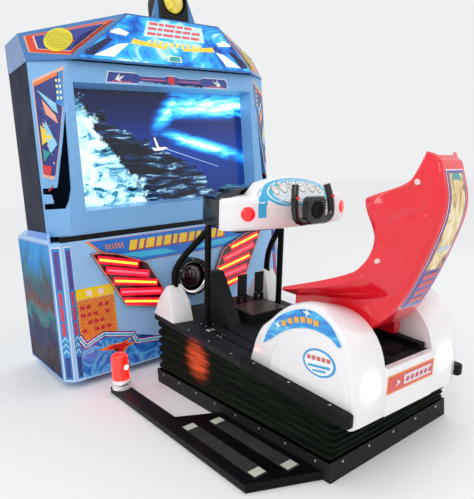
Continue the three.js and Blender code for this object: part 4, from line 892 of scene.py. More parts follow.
def header():
    paint(coat("lacquer_header_blue", "#3f78b4", 0.06, 14, (0.24, 0.38), 0.05, 900, 0.2, 0.35), "header_box")
    round_edges(0.003, "header_box")
    art = [(-882, 2170), (-408, 2251), (-556, 2160), (-596, 2152), (-690, 2030), (-882, 2062)]
    layers = [("outer", 1.0, "#f0b06a"), ("red", 0.965, "#d93a22"), ("line", 0.80, "#f3c9b0"),
              ("field", 0.76, "#26308c")]
    for index, (name, share, code) in enumerate(layers):
        cabinet_film(f"header_wing_{name}", both([inset_polygon(art, share)]), "header_box", ink(code),
                     "blue_metallic", LIFT * (index + 1))
    for side, flip in (("left", lambda o: o), ("right", mirrored)):
        node = f"speaker_grille_{side}"
        paint(YELLOW, node)
        # Dark olive dots on the yellow grille are painted shade, standing for the shade inside each hole of
        # the grille.
        hole_shade = []
        for row in range(-6, 7):
            for col in range(-6, 7):
                x, z = 12 * (col + 0.5 * (row % 2)), 10.4 * row
                if math.hypot(x, z) < 66:
                    hole_shade.append(disc(-722 + x, 2130 + z, 2.9, None, 8))
        cabinet_film(f"speaker_hole_shade_{side}", flip(hole_shade), node, ink("#3a3410"), "yellow_plastic", 0.0006)


def marquee():
    paint(marquee_scene(), "marquee_panel")
    slot = "backlit_print"
    node = "marquee_panel"
    glow = 0.35
    ridge = both([[(-640, 2034), (-560, 2034), (-440, 2130), (-470, 2140), (-560, 2090)]])
    cabinet_film("marquee_dark_wings", ridge, node, ink("#131a44", glow), slot, LIFT)
    white = both([[(-560, 2034), (-430, 2034), (-330, 2120), (-400, 2110)],
                  [(-470, 2170), (-400, 2200), (-330, 2180), (-350, 2160)]])
    cabinet_film("marquee_white_wings", white, node, ink("#eef4fa", glow), slot, LIFT)
    rays = both([[(-300, 2150), (-60, 2120), (-60, 2106), (-320, 2120)]])
    cabinet_film("marquee_rays", rays, node, ink("#f7c73a", glow), slot, LIFT)
    panel = [(-232, 2170), (232, 2170), (206, 2262), (-206, 2262)]
    cabinet_film("marquee_plate", [panel], node, ink("#bfe4ee", glow), slot, LIFT)
    rows = []
    for z, x0 in ((2182, -205), (2212, -200), (2240, -190)):
        x = x0
        for width in (60, 34, 76, 48, 58, 66):
            if x + width < -x0:
                rows.append(rect(x, x + width, z, z + 16))
            x += width + 10
    cabinet_film("marquee_blocks", rows, node, ink("#d65a62", glow), slot, 2 * LIFT)
    gold = [[(x, 2120), (x + 26, 2120), (x + 34, 2150), (x + 8, 2150)] for x in range(-210, 190, 42)]
    cabinet_film("marquee_gold", gold, node, ink("#f3d35c", glow), slot, 2 * LIFT)
    badge = [(-58, 2034), (58, 2034), (46, 2070), (-46, 2070)]
    cabinet_film("marquee_badge_rim", [badge], node, ink("#d9e8c8", glow), slot, 2 * LIFT)
    cabinet_film("marquee_badge", [inset_polygon(badge, 0.78)], node, ink("#2a9c98", glow), slot, 3 * LIFT)


def top_lamp():
    paint(BLACK, "top_lamp_housing")
    round_edges(0.004, "top_lamp_housing")
    low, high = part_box("top_lamp_lens")
    centre = Vector(((low.x + high.x) / 2, high.y, (low.z + high.z) / 2))
    profile = [(0.0, 0.0), (0.076, 0.0), (0.076, 0.012)]
    for i in range(1, 11):
        a = math.radians(8.6 * i)
        ripple = 0.0012 * (i % 2)
        profile.append((0.075 * math.cos(a), 0.012 + (0.040 + ripple) * math.sin(a)))
    profile.append((0.0, 0.0525))
    lens = lathe("lamp_lens_dome", profile, centre, (0, -1, 0), GOLD_LENS, "cabinet", 48)
    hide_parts("top_lamp_lens")
    lathe("lamp_collar", [(0.0785, -0.01), (0.092, -0.01), (0.092, -0.0045), (0.086, 0.0), (0.0785, 0.0),
                          (0.0785, -0.01)], Vector((0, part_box("top_lamp_housing")[0].y, centre.z)),
          (0, -1, 0), CHROME, "cabinet", 48)


def upper_cabinet():
    paint(CAB_BLUE, "front_bezel")
    round_edges(0.003, "front_bezel")
    paint(NAVY, "upper_cabinet")
    round_edges(0.004, "upper_cabinet")
    paint(BLACK, "trim_strip")
    bezel_sticker()
    wing_art()
    slit_glow()
    screen()
    header()
    marquee()
    top_lamp()


# ---------------------------------------------------------------- floor pieces
def step_and_base():
    paint(BLACK_METAL, "plinth", "floor_duct", "pivot_post", "pitch_motor")
    round_edges(0.003, "plinth", "side_step", "floor_duct")
    paint(BLACK_BOARD, "side_step")
    paint(STEEL, "gimbal_cross", "pitch_crank")
    paint(tread_rubber(), "grip_strip_outer", "grip_strip_inner")
    for name in ("outer", "inner"):
        low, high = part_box(f"grip_strip_{name}")
        for end, y in (("front", high.y - 0.032), ("rear", low.y + 0.032)):
            middle = (low.x + high.x) / 2
            corners = [(middle - 0.03, y - 0.024), (middle + 0.03, y - 0.024),
                       (middle + 0.03, y + 0.024), (middle - 0.03, y + 0.024)]
            film(f"strip_patch_{name}_{end}", [corners], lambda x, y: Vector((x, y, 0.5)),
                 Vector((0, 0, -1)), f"grip_strip_{name}", ink("#cfd3c4"), "cabinet", "rubber_cloth",
                 0.0012, 0.05)
    low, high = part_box("plinth")
    sides = []
    for i in range(8):
        y = low.y + 0.08 + i * (high.y - low.y - 0.16) / 7
        sides.append(Vector((low.x - 0.0002, y, high.z - 0.018)))
    screws("plinth_screws", sides, (-1, 0, 0), 0.006, STEEL, "cabinet")
    rear = [Vector((low.x + 0.08 + i * (high.x - low.x - 0.16) / 4, low.y - 0.0002, high.z - 0.018))
            for i in range(5)]
    screws("plinth_screws_rear", rear, (0, -1, 0), 0.006, STEEL, "cabinet")


def beacon():
    """Ribbed red cap on a pale collar, with a bright core behind it."""
    paint(WHITE, "beacon_base")
    paint(CHROME, "beacon_reflector")
    low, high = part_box("beacon_lens")
    foot = Vector(((low.x + high.x) / 2, (low.y + high.y) / 2, low.z))
    height = high.z - low.z
    profile = [(0.0505, 0.0), (0.0535, 0.0)]
    steps = 36
    for i in range(1, steps):
        share = i / steps
        taper = 0.0535 - 0.003 * share
        if share > 0.84:
            taper -= 0.022 * ((share - 0.84) / 0.16) ** 2
        profile.append((taper - 0.0007 * (i % 2), height * share))
    profile += [(0.024, height * 0.994), (0.0, height)]
    cap = lathe("beacon_cap", profile, foot, (0, 0, 1), BEACON_RED, "cabinet", 48)
    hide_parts("beacon_lens")
    cap.visible_shadow = False
    base_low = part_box("beacon_base")[0]
    lathe("beacon_collar", [(0.0535, 0.0), (0.0582, 0.0), (0.0582, 0.012), (0.0535, 0.014), (0.0535, 0.0)],
          Vector((foot.x, foot.y, base_low.z + 0.028)), (0, 0, 1), CHROME, "cabinet", 48)
    toward = Vector((0.35, -0.94, 0)).normalized()
    lathe("beacon_flash", [(0.0, 0.0), (0.015, 0.0), (0.012, 0.003), (0.006, 0.005), (0.0, 0.0055)],
          foot + toward * 0.0505 + Vector((0, 0, 0.075)), toward, BEACON_CORE, "cabinet",
          24)


# ---------------------------------------------------------------- bellows
BELLOWS_PLEATS = 3           # crests in each half
PLEAT_VALLEY = 0.020
PLEAT_CREST = 0.003
BELLOWS_CORNER = 0.022
DECK_HALF, DECK_FRONT, DECK_REAR, DECK_DEPTH = 425, 700, -790, 35


def bellows_corners():
    """Level corners on the plinth and tilted ones under the deck, in matching order."""
    low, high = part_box("plinth")
    level, tilted = [], []
    for sx, sy in ((-1, -1), (1, -1), (1, 1), (-1, 1)):
        level.append(Vector((low.x if sx < 0 else high.x, low.y if sy < 0 else high.y, high.z + 0.0005)))
        y = DECK_FRONT - 4 if sy > 0 else DECK_REAR + 22
        tilted.append(plat(sx * (DECK_HALF - 4), y, -DECK_DEPTH - 0.5))
    return level, tilted


def bellows_ring(level, tilted, share, inset, count):
    """Points round the bellows at one height, with rounded corners."""
    corners = [a.lerp(b, share) for a, b in zip(level, tilted)]
    middle = sum(corners, Vector()) / 4
    ring = []
    for k in range(4):
        a, b, c = corners[k - 1], corners[k], corners[(k + 1) % 4]
        back, ahead = (a - b).normalized(), (c - b).normalized()
        here = b + (back + ahead) * inset
        nxt = corners[(k + 1) % 4]
        nback, nahead = (b - nxt).normalized(), (corners[(k + 2) % 4] - nxt).normalized()
        there = nxt + (nback + nahead) * inset
        for i in range(3):
            turn = math.radians(45 * i)
            ring.append(here + (back * (1 - math.sin(turn)) + ahead * (1 - math.cos(turn))) * BELLOWS_CORNER)
        start = here + ahead * BELLOWS_CORNER
        end = there + nback * BELLOWS_CORNER
        for i in range(1, count):
            ring.append(start.lerp(end, i / count))
    return ring, middle


def bellows_half(name, node, first, last, seed):
    """Half the pleated skirt: rounded crests, pinched valleys, slight sag and wrinkles."""
    level, tilted = bellows_corners()
    rows = 48
    count = 22
    rng = random.Random(seed)
    waves = [(rng.uniform(6, 17), rng.uniform(0, 6.28), rng.uniform(0.3, 1.0)) for _ in range(6)]
    bm = bmesh.new()
    rings = []
    for r in range(rows + 1):
        t = r / rows
        share = first + (last - first) * t
        fold = 0.5 + 0.5 * math.cos(2 * math.pi * BELLOWS_PLEATS * t)
        inset = PLEAT_CREST + (PLEAT_VALLEY - PLEAT_CREST) * fold ** 1.5
        points, middle = bellows_ring(level, tilted, share, inset, count)
        ring = []
        for i, p in enumerate(points):
            around = i / len(points) * 2 * math.pi
            crest = 1 - fold
            ripple = sum(w * math.sin(f * around + q + 3 * t) for f, q, w in waves) / 6
            inward = (middle - p)
            inward.z = 0
            p = p + inward.normalized() * (0.0016 * (1 + ripple) * crest)
            p = p + Vector((0, 0, -0.0022 * crest * (0.5 + ripple) * math.sin(math.pi * t)))
            ring.append(bm.verts.new(p))
        rings.append(ring)
    for lower, upper in zip(rings, rings[1:]):
        for i in range(len(lower)):
            k = (i + 1) % len(lower)
            bm.faces.new((lower[i], lower[k], upper[k], upper[i]))
    mesh = bpy.data.meshes.new(name)
    bm.normal_update()
    bm.to_mesh(mesh)
    bm.free()
    obj = bpy.data.objects.new(name, mesh)
    bpy.context.scene.collection.objects.link(obj)
    mesh.materials.append(BELLOWS)
    solid = obj.modifiers.new("cloth", "SOLIDIFY")
    solid.thickness = 0.002
    solid.offset = -1
    bake_modifiers(obj)
    obj.data.shade_smooth()
    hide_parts(node)
    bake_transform(obj)
    return obj


BELLOWS = bellows_cloth()


def bellows():
    level, tilted = bellows_corners()
    bellows_half("bellows_skirt_lower", "bellows_lower", 0.0, 0.499,
                 11)
    bellows_half("bellows_skirt_upper", "bellows_upper", 0.501, 1.0,
                 12)


# ---------------------------------------------------------------- platform
FENDER_OUTER = 380


def arc_points(cx, cz, rx, rz, start, end, count):
    return [(cx + rx * math.cos(math.radians(start + (end - start) * i / count)),
             cz + rz * math.sin(math.radians(start + (end - start) * i / count)))
            for i in range(count + 1)]


# Outline of the blue print, as (y, z) on the fender's outer face, front to back and back again.
CRESCENT_OUTER = [(-265, 122), (-303, 209), (-380, 297), (-501, 360), (-600, 372), (-688, 336), (-748, 268)]
CRESCENT_INNER = [(-734, 257), (-680, 285), (-594, 292), (-507, 274), (-416, 233), (-320, 161)]


def smooth_outline(points, parts=5):
    """Extra points on a smooth line through the given ones."""
    line = []
    last = len(points) - 1
    for k in range(last):
        before, a, b, after = points[max(k - 1, 0)], points[k], points[k + 1], points[min(k + 2, last)]
        for i in range(parts):
            t = i / parts
            line.append(tuple(0.5 * (2 * a[j] + (b[j] - before[j]) * t
                                     + (2 * before[j] - 5 * a[j] + 4 * b[j] - after[j]) * t * t
                                     + (3 * a[j] - before[j] - 3 * b[j] + after[j]) * t ** 3)
                              for j in range(2)))
    return line + [points[-1]]


def crescent_middle(y):
    return 331 - 0.0019 * (y + 590) ** 2


def star_outline(y, z, radius):
    """A four-pointed spark."""
    return [(y + (radius if i % 2 == 0 else radius * 0.3) * math.cos(math.pi * i / 4),
             z + (radius if i % 2 == 0 else radius * 0.3) * math.sin(math.pi * i / 4)) for i in range(8)]


def fender_panel(side, sign):
    """Half-disc panel that stands a little proud of the fender's outer face."""
    outline = arc_points(-560, 18, 232, 262, 180, 0, 28)
    bm = bmesh.new()
    rings = []
    for out, share in ((-1, 1.0), (3.0, 1.0), (5.0, 0.985), (6.0, 0.96)):
        rings.append([bm.verts.new(plat(sign * (FENDER_OUTER + out), -560 + (y + 560) * share,
                                        max(18 + (z - 18) * share, 19)))
                      for y, z in outline])
    for a, b in zip(rings, rings[1:]):
        for i in range(len(a)):
            k = (i + 1) % len(a)
            bm.faces.new((a[i], a[k], b[k], b[i]))
    bm.faces.new(rings[-1])
    bm.faces.new(list(reversed(rings[0])))
    return piece(f"fender_panel_{side}", to_mesh(f"fender_panel_{side}", bm), WHITE, "platform")


def fenders():
    for side, sign in (("left", -1), ("right", 1)):
        node = f"fender_{side}"
        moulded_copy(node, f"fender_shell_{side}", WHITE, "platform", edge=0.009)
        panel = fender_panel(side, sign)
        outward = ACROSS * sign
        place = lambda y, z, s=sign: plat(s * (FENDER_OUTER + 120), y, z)
        crescent = smooth_outline(CRESCENT_OUTER) + smooth_outline(CRESCENT_INNER)
        if sign < 0:
            crescent = crescent[::-1]
        args = (place, -outward, node)
        film(f"crescent_line_{side}", [crescent], *args, ink("#dff1fb"), "platform", "white_frp", LIFT)
        film(f"crescent_{side}", [inset_polygon(crescent, 0.96)], *args, CRESCENT_FILM, "platform",
             "white_frp", 2 * LIFT)
        bars = []
        for k in range(6):
            y = -428 - 38 * k
            z = crescent_middle(y + 12) - 16
            bars.append([(y, z), (y + 28, z - 5), (y + 32, z + 19), (y + 4, z + 24)])
        film(f"crescent_bars_{side}", bars, *args, ink("#f2b238"), "platform", "white_frp", 4 * LIFT)
        sparks = [star_outline(y, crescent_middle(y) + up, 24) for y, up in ((-545, 26), (-372, 6))]
        film(f"crescent_sparks_{side}", sparks, *args, ink("#f3f6f2"), "platform", "white_frp", 3 * LIFT)
        _trees[f"panel_{side}"] = BVHTree.FromPolygons(
            [panel.matrix_world @ v.co for v in panel.data.vertices],
            [tuple(p.vertices) for p in panel.data.polygons])
        args = (place, -outward, f"panel_{side}")
        ring = disc(-631, 161, 92, 60, 40, -0.165)
        film(f"badge_ring_{side}", [ring], *args, ink("#2f9fdc"), "platform", "white_frp", LIFT)
        film(f"badge_field_{side}", [inset_polygon(ring, 0.86)], *args, ink("#f4f8fa"), "platform",
             "white_frp", 2 * LIFT)
        marks = [[(y, 180 - 4 * k), (y + 20, 177 - 4 * k), (y + 20, 195 - 4 * k), (y, 198 - 4 * k)]
                 for k, y in enumerate(range(-694, -568, 27))]
        film(f"badge_marks_{side}", marks, *args, ink("#d8685a"), "platform", "white_frp", 3 * LIFT)
        sweep_mark = [[(-694, 152), (-572, 130), (-572, 140), (-694, 164)],
                      [(-672, 130), (-600, 116), (-600, 124), (-672, 140)]]
        film(f"badge_sweep_{side}", sweep_mark, *args, ink("#3aa6d8"), "platform", "white_frp", 3 * LIFT)


def tail():
    """Rear panel between the fenders, its striped film and the two round lamps."""
    paint(WHITE, "tail_panel")
    round_edges(0.004, "tail_panel")
    place = lambda x, z: plat(x, -1000, z)
    args = (place, ALONG, "tail_panel")
    field = rect(-171, 171, 30, 112)
    film("tail_edge", [field], *args, ink("#ef8a34"), "platform", "white_frp", LIFT)
    film("tail_field", [rect(-162, 162, 39, 103)], *args, ink("#dd4a44"), "platform", "white_frp", 2 * LIFT)
    film("tail_pale", [rect(-56, 148, 49, 93)], *args, ink("#ecd9e4"), "platform", "white_frp", 3 * LIFT)
    arrow = [(-110, 54), (-80, 70), (-110, 86), (-100, 70)]
    marks = [[(x, 60), (x + 20, 60), (x + 26, 80), (x + 6, 80)] for x in range(-44, 128, 34)]
    film("tail_arrow", [arrow], *args, ink("#f6eef0"), "platform", "white_frp", 3 * LIFT)
    film("tail_marks", marks, *args, ink("#c43a5a"), "platform", "white_frp", 4 * LIFT)
    for side in ("left", "right"):
        low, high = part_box(f"tail_lamp_{side}")
        middle = (low + high) / 2
        middle -= ALONG * (middle - (plat(0, -818.5, 90))).dot(ALONG)
        profile = [(0.0, 0.0), (0.0495, 0.0), (0.0495, 0.006), (0.046, 0.010), (0.042, 0.0115),
                   (0.0405, 0.0105), (0.036, 0.0155), (0.024, 0.0195), (0.010, 0.0215), (0.0, 0.0218)]
        lamp = lathe(f"lamp_dome_{side}", profile, middle, -ALONG, LAMP_WHITE, "platform", 48)
        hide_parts(f"tail_lamp_{side}")


def deck():
    paint(BLACK_METAL, "platform_deck", "side_rail_left", "side_rail_right", "seat_box", "seat_runner",
          "column_bearing")
    round_edges(0.003, "platform_deck", "side_rail_left", "side_rail_right", "seat_box", "seat_runner")
    for i, x in enumerate((-300, -216)):
        film(f"deck_rib_{i}", [rect(x - 6, x + 6, -140, 300)], lambda u, v: plat(u, v, 60), -UPRIGHT,
             "platform_deck", BLACK_BOARD, "platform", "black_metal", 0.003, 0.2, 0.003)
    film("deck_patch", [rect(-326, -282, 254, 284)], lambda u, v: plat(u, v, 60), -UPRIGHT,
         "platform_deck", ink("#cfd2cc"), "platform", "black_metal")
    places = [plat(-306 + dx, 163 + dy, 0.2) for dx in (-13, 13) for dy in (-13, 13)]
    places += [plat(s * 404, y, 0.2) for s in (-1, 1) for y in (-60, 140, 340)]
    places += [plat(s * 406, y, 18.3) for s in (-1, 1) for y in (-240, -480, -720)]
    screws("deck_screws", places, UPRIGHT, 0.0062, STEEL, "platform")
    box_places = [plat(s * 150, y, 144.3) for s in (-1, 1) for y in (-770, -300)]
    screws("seat_box_screws", box_places, UPRIGHT, 0.006, STEEL, "platform")


# ---------------------------------------------------------------- seat
SEAT_CAP = coat("plastic_cap_pale", "#e6cfca", 0.06, 80, (0.3, 0.45), 0.1, 700)

# The seat's flanks seen from behind, as (distance from the middle, height): the shoulder bolster's
# middle and reach, and the two creases that bound it.
BOLSTER, BOLSTER_REACH, BOLSTER_SWELL = (222, 818), (72, 60), 36
SEAT_CREASES = ([(92, 935), (103, 843), (117, 799), (169, 788), (194, 760), (191, 722)],
                [(263, 729), (213, 698), (160, 661), (126, 610)])
CREASE_DEPTH, CREASE_REACH = 12, 17
FLANK_START, FLANK_FADE, FLANK_FRONT = 80, 40, -690


def near_line(point, line):
    """Distance from a point to a polyline."""
    best = math.inf
    for a, b in zip(line, line[1:]):
        run = (b[0] - a[0], b[1] - a[1])
        along = (point[0] - a[0]) * run[0] + (point[1] - a[1]) * run[1]
        t = max(0, min(1, along / (run[0] ** 2 + run[1] ** 2)))
        best = min(best, math.hypot(point[0] - a[0] - t * run[0], point[1] - a[1] - t * run[1]))
    return best


def shape_bolsters(obj):
    """Moulds the flanks: both skins of the wall move outward together, so it keeps its thickness."""
    for v in obj.data.vertices:
        local = (v.co - PIVOT) / MM
        side, wide = math.copysign(1, local.dot(ACROSS)), abs(local.dot(ACROSS))
        z = local.dot(UPRIGHT) - PIVOT_DROP
        flank = max(0, min(1, (wide - FLANK_START) / FLANK_FADE))
        flank *= max(0, min(1, (FLANK_FRONT - local.dot(ALONG)) / FLANK_FADE))
        if flank == 0:
            continue
        reach = math.hypot((wide - BOLSTER[0]) / BOLSTER_REACH[0], (z - BOLSTER[1]) / BOLSTER_REACH[1])
        near = min(near_line((wide, z), line) for line in SEAT_CREASES)
        shift = BOLSTER_SWELL * math.exp(-reach ** 2) - CREASE_DEPTH * math.exp(-(near / CREASE_REACH) ** 2)
        v.co += (ACROSS * side - ALONG).normalized() * flank * shift * MM
    obj.data.update()


def seat():
    shell = moulded_copy("seat_shell", "seat_bucket_shell", RED, "seat", levels=4)
    shape_bolsters(shell)
    _trees["seat_shell"] = tree_of(shell.data)
    args = (lambda x, z: plat(x, -1150, z), ALONG, "seat_shell")
    half = lambda z: 62 + 22 * max(0, min(1, (960 - z) / 600)) * 0.6
    levels = list(range(375, 961, 45)) + [965]
    outline = [(half(z), z) for z in levels] + [(-half(z), z) for z in reversed(levels)]
    film("seat_strip_edge", [outline], *args, ink("#f1edf4"), "seat", "red_frp", 2 * LIFT)
    film("seat_strip_purple", [[(x * 0.94, 670 + (z - 670) * 0.985) for x, z in outline]], *args,
         ink("#6a3f9c"), "seat", "red_frp", 3 * LIFT)
    upper = [(half(z) * 0.78, z) for z in range(560, 951, 39)]
    upper += [(-x, z) for x, z in reversed(upper)]
    film("seat_strip_cream", [upper], *args, seat_art(), "seat", "red_frp", 4 * LIFT)
    lower = [(half(z) * 0.78, z) for z in range(385, 546, 40)]
    lower += [(-x, z) for x, z in reversed(lower)]
    film("seat_strip_blue", [lower], *args, ink("#3c5fb4"), "seat", "red_frp", 4 * LIFT)
    blocks = [[(-46, z), (46, z + 10), (46, z + 34), (-46, z + 24)] for z in (400, 438, 476, 512)]
    film("seat_strip_blocks", blocks, *args, ink("#d6303c"), "seat", "red_frp", 5 * LIFT)
    film("seat_strip_plate", [rect(-40, 40, 640, 664)], *args, ink("#c9ccd0"), "seat", "red_frp", 5 * LIFT)
    film("seat_strip_badge", [[(-30, 925), (30, 925), (22, 950), (-22, 950)]], *args, ink("#2a9c98"),
         "seat", "red_frp", 5 * LIFT)
    tree = surface_of("seat_shell")
    for sign in (-1, 1):
        for row, (x, y, z) in enumerate(((170, -881, 924), (240, -773, 601))):
            hit, normal, _, _ = tree.find_nearest(plat(sign * x, y, z))
            lathe(f"seat_cap_{'left' if sign < 0 else 'right'}_{row}",
                  [(0.0, -0.002), (0.012, -0.002), (0.012, 0.002), (0.009, 0.0045), (0.0, 0.0055)],
                  hit, normal, SEAT_CAP, "seat", 24)


def seat_art():
    """Sand and brown cloud print of the seat's rear strip."""
    n = Nodes("film_seat_print")
    flow = n.noise(7, 4, 0.6, n.mapping((2, 1, 0.7)), 1.6)
    n.link(n.ramp(flow, [(0.35, linear("#4a2f16")), (0.45, linear("#b98a45")), (0.54, linear("#f1dca0")),
                         (0.66, linear("#f7efd6"))]), n.shader.inputs["Base Color"])
    n.shader.inputs["Roughness"].default_value = 0.25
    n.shader.inputs["Coat Weight"].default_value = 0.4
    n.bump(n.noise(700, 2), 0.05, 0.0005)
    return n.material


# ---------------------------------------------------------------- console and controls
def console_frames():
    """Tubes of the console frame, drawn as smooth bars with welded feet."""
    for side, sign in (("left", -1), ("right", 1)):
        post = [plat(sign * 279, 338, z) for z in (6, 150, 300, 450, 588)]
        brace = [plat(sign * x, y, z) for x, y, z in (
            (279, 338, 566), (303, 396, 500), (345, 508, 372), (361, 548, 300), (365, 560, 200),
            (366, 561, 6))]
        main = sweep(f"frame_post_{side}", post, 0.019, BLACK_METAL, "platform", count=24)
        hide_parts(f"console_frame_{side}")
        sweep(f"frame_brace_{side}", brace, 0.019, BLACK_METAL, "platform", count=24)
        for part, (x, y) in (("post", (279, 338)), ("brace", (366, 561))):
            centre = plat(sign * x, y, 0.6)
            lathe(f"frame_foot_{part}_{side}", [(0.0, 0.0), (0.044, 0.0), (0.044, 0.006), (0.042, 0.0075),
                                               (0.0215, 0.0075), (0.0195, 0.013), (0.0, 0.013)], centre,
                  UPRIGHT, BLACK_METAL, "platform", 40)
            bolts = [plat(sign * x + 34 * math.cos(a), y + 34 * math.sin(a), 8.2)
                     for a in [math.radians(45 + 90 * i) for i in range(4)]]
            screws(f"frame_bolts_{part}_{side}", bolts, UPRIGHT, 0.006, STEEL, "platform")
        moulded_copy(f"tube_cover_{side}", f"tube_scoop_{side}", WHITE, "platform", edge=0.005)


GAUGES = [(-158, 818, 22), (-104, 828, 26), (-42, 832, 26), (24, 828, 28), (92, 824, 27), (148, 812, 20)]


def gauges():
    """Round dials with bezels, ticks and needles on the console's instrument panel."""
    rims = [disc(x, z, r) for x, z, r in GAUGES]
    console_film("gauge_rims", rims, ink("#4b626d"), 4 * LIFT)
    console_film("gauge_chrome", [disc(x, z, r * 0.9) for x, z, r in GAUGES], ink("#dfe8eb"), 4.7 * LIFT)
    console_film("gauge_faces", [disc(x, z, r * 0.78) for x, z, r in GAUGES], ink("#f2f2ee"), 5.4 * LIFT)
    ticks, needles = [], []
    for k, (x, z, r) in enumerate(GAUGES):
        for i in range(10):
            a = math.radians(-120 + 240 * i / 9 + 90)
            ticks.append(band([(x + r * 0.56 * math.cos(a), z + r * 0.56 * math.sin(a)),
                               (x + r * 0.7 * math.cos(a), z + r * 0.7 * math.sin(a))], 1.6)[0])
        a = math.radians(40 + 47 * k)
        needles.append(band([(x, z), (x + r * 0.55 * math.cos(a), z + r * 0.55 * math.sin(a))], 2.4)[0])
    console_film("gauge_ticks", ticks, ink("#30343a"), 6 * LIFT)
    console_film("gauge_needles", needles, ink("#d23a2c"), 6.4 * LIFT)


def console():
    moulded_copy("console_shell", "console_face", WHITE, "platform", edge=0.004)
    moulded_copy("console_cover", "console_back", GLOSS_BLACK, "platform", edge=0.008)
    panel = disc(0, 800, 210, 62, 48)
    foot = [(-290, 690), (-246, 690), (-244, 745), (-228, 775), (-190, 792), (-180, 832), (-236, 826),
            (-270, 797), (-288, 755)]
    console_film("console_swoosh", [[(x, max(z, 742)) for x, z in inset_polygon(panel, 1.14)]],
                 ink("#2fb0de"), LIFT)
    console_film("console_leg", [foot], ink("#2fb0de"), 1.3 * LIFT)
    console_film("console_panel_line", [inset_polygon(panel, 1.02)], ink("#f3f6f8"), 2.2 * LIFT)
    console_film("console_panel_cyan", [inset_polygon(panel, 0.98)], ink("#49c0e4"), 2.8 * LIFT)
    console_film("console_panel", [inset_polygon(panel, 0.86)], ink("#dfe9ee"), 3.4 * LIFT)
    gauges()
    for side in ("left", "right"):
        low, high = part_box(f"console_roundel_{side}")
        middle = (low + high) / 2
        hit, normal, _, _ = surface_of("console_shell").find_nearest(middle)
        lens = lathe(f"roundel_lens_{side}", [(0.0, -0.002), (0.036, -0.002), (0.036, 0.002),
                                              (0.033, 0.005), (0.02, 0.0075), (0.0, 0.0085)],
                     hit, normal, LENS_RED, "platform", 48)
        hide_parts(f"console_roundel_{side}")
    rivets = [plat(s * x, -2, z) for s in (-1, 1) for x, z in ((400, 650), (404, 760))]
    tree = surface_of("console_shell")
    for i, p in enumerate(rivets):
        hit, normal, _, _ = tree.find_nearest(p)
        lathe(f"console_rivet_{i}", [(0.005, 0.0), (0.0045, 0.0015), (0.0, 0.002)], hit, normal, CHROME,
              "platform", 16)


def controls():
    moulded_copy("yoke", "yoke_grips", GLOSS_BLACK, "yoke", edge=0.002)
    paint(STEEL, "steering_column")
    paint(RED, "fire_button_left", "fire_button_right")
    round_edges(0.0015, "fire_button_left", "fire_button_right", "steering_column")
    hub = Vector(JOINTS["yoke_turn"]["pos_m"])
    face = hub - ALONG * 0.0262
    lathe("yoke_hub_cap", [(0.046, -0.001), (0.046, 0.002), (0.042, 0.005), (0.034, 0.0062),
                           (0.030, 0.0045), (0.0, 0.0045)], face, -ALONG, BLACK_METAL, "yoke",
          48)
    for side, sign in (("left", -1), ("right", 1)):
        for i in range(5):
            z = 726 + 14 * i
            x = 129 - 0.004 * (i - 2) ** 2
            centre = plat(sign * x, -190 + 1.4 * i, z)
            lathe(f"grip_rib_{side}_{i}", [(0.0186, -0.003), (0.0203, -0.0018), (0.0203, 0.0018),
                                           (0.0186, 0.003)], centre, (UPRIGHT + ALONG * 0.12), RUBBER,
                  "yoke", 32)
    paint(BLACK_METAL, "pedal_unit")
    paint(BLACK, "pedal_brake", "pedal_throttle")
    round_edges(0.0025, "pedal_unit", "pedal_brake", "pedal_throttle")
    film("footrest_plate", [rect(-52, 218, 198, 398)], lambda u, v: plat(u, v, 200), -UPRIGHT,
         "pedal_unit", TREAD, "platform", "black_metal", 0.0022, 0.1, 0.0022)
    for name, x in (("brake", 50), ("throttle", 188)):
        ribs = [rect(x - 26, x + 26, z, z + 7) for z in range(120, 232, 17)]
        film(f"pedal_ribs_{name}", ribs, lambda u, v: plat(u, 300, v), ALONG, f"pedal_{name}", RUBBER,
             name, "black_plastic", 0.0025, 0.1, 0.0025)


RUBBER = coat("rubber_grip", "#17181a", 0.15, 70, (0.6, 0.75), 0.6, 800)
TREAD = tread_plate()


# ---------------------------------------------------------------- stage, light and camera
EYE = Vector((-1.8213, -2.3949, 1.2841))
VIEW_RIGHT = Vector((0.7944001, -0.60399662, -0.06416041))
VIEW_DOWN = Vector((-0.1333478, -0.07037225, -0.98856771))
VIEW_AHEAD = Vector((0.59257644, 0.79387394, -0.13644534))
LENS_MM = 36.12
SHIFT = (0.00734, -0.01555)


def stage():
    bpy.ops.mesh.primitive_grid_add(x_subdivisions=8, y_subdivisions=8, size=60, location=(0, 0, -0.001))
    floor = bpy.context.object
    floor.name = "studio_floor"
    n = Nodes("studio_floor_pale")
    n.link(n.ramp(n.noise(2, 3), [(0.3, linear("#f8f8f8")), (0.7, linear("#fafafa"))]),
           n.shader.inputs["Base Color"])
    n.shader.inputs["Roughness"].default_value = 0.6
    floor.data.materials.append(n.material)


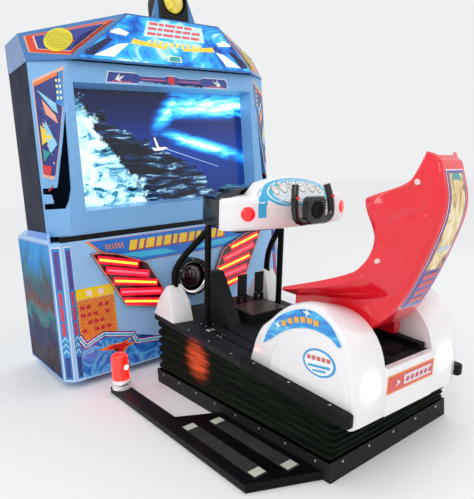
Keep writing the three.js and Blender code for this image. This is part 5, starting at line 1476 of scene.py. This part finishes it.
def area_light(name, place, toward, size, energy, color=(1, 1, 1)):
    data = bpy.data.lights.new(name, "AREA")
    data.shape = "RECTANGLE"
    data.size, data.size_y = size
    data.energy = energy
    data.color = color
    light = bpy.data.objects.new(name, data)
    bpy.context.scene.collection.objects.link(light)
    light.location = place
    light.rotation_mode = "QUATERNION"
    light.rotation_quaternion = (Vector(toward) - Vector(place)).to_track_quat("-Z", "Y")


def lights():
    world = bpy.data.worlds.new("studio")
    world.use_nodes = True
    background = world.node_tree.nodes["Background"]
    background.inputs["Color"].default_value = (0.98, 0.99, 1.0, 1)
    background.inputs["Strength"].default_value = 0.88
    bpy.context.scene.world = world
    area_light("key", (-4.2, -3.6, 4.6), (0, 0, 0.8), (2.6, 2.6), 85)
    area_light("fill", (4.5, -3.0, 3.2), (0, 0, 0.9), (3.5, 3.0), 14)
    area_light("top", (0, -0.4, 5.5), (0, 0, 0), (4.0, 4.0), 18)
    # The beacon mirrored in the coated cloth: a soft red patch on the left side of the bellows.
    spark = bpy.data.lights.new("beacon_glow", "SPOT")
    spark.energy = 620
    spark.color = (1.0, 0.07, 0.035)
    spark.shadow_soft_size = 0.03
    spark.spot_size = math.radians(36)
    spark.spot_blend = 1.0
    glow = bpy.data.objects.new("beacon_glow", spark)
    bpy.context.scene.collection.objects.link(glow)
    target = plat(-421, 250, -140)
    glow.location = target + Vector((-0.38, 0, 0.06))
    glow.rotation_mode = "QUATERNION"
    glow.rotation_quaternion = (target - glow.location).to_track_quat("-Z", "Y")


def camera():
    data = bpy.data.cameras.new("camera")
    data.lens = LENS_MM
    data.sensor_width = 36
    data.shift_x, data.shift_y = SHIFT
    cam = bpy.data.objects.new("camera", data)
    bpy.context.scene.collection.objects.link(cam)
    turn = Matrix((VIEW_RIGHT, -VIEW_DOWN, -VIEW_AHEAD)).transposed()
    cam.matrix_world = Matrix.Translation(EYE) @ turn.to_4x4()
    bpy.context.scene.camera = cam
    bpy.context.scene.view_settings.view_transform = "Standard"


camera()
lower_cabinet()
upper_cabinet()
step_and_base()
beacon()
bellows()
deck()
fenders()
tail()
seat()
console_frames()
console()
controls()
stage()
lights()
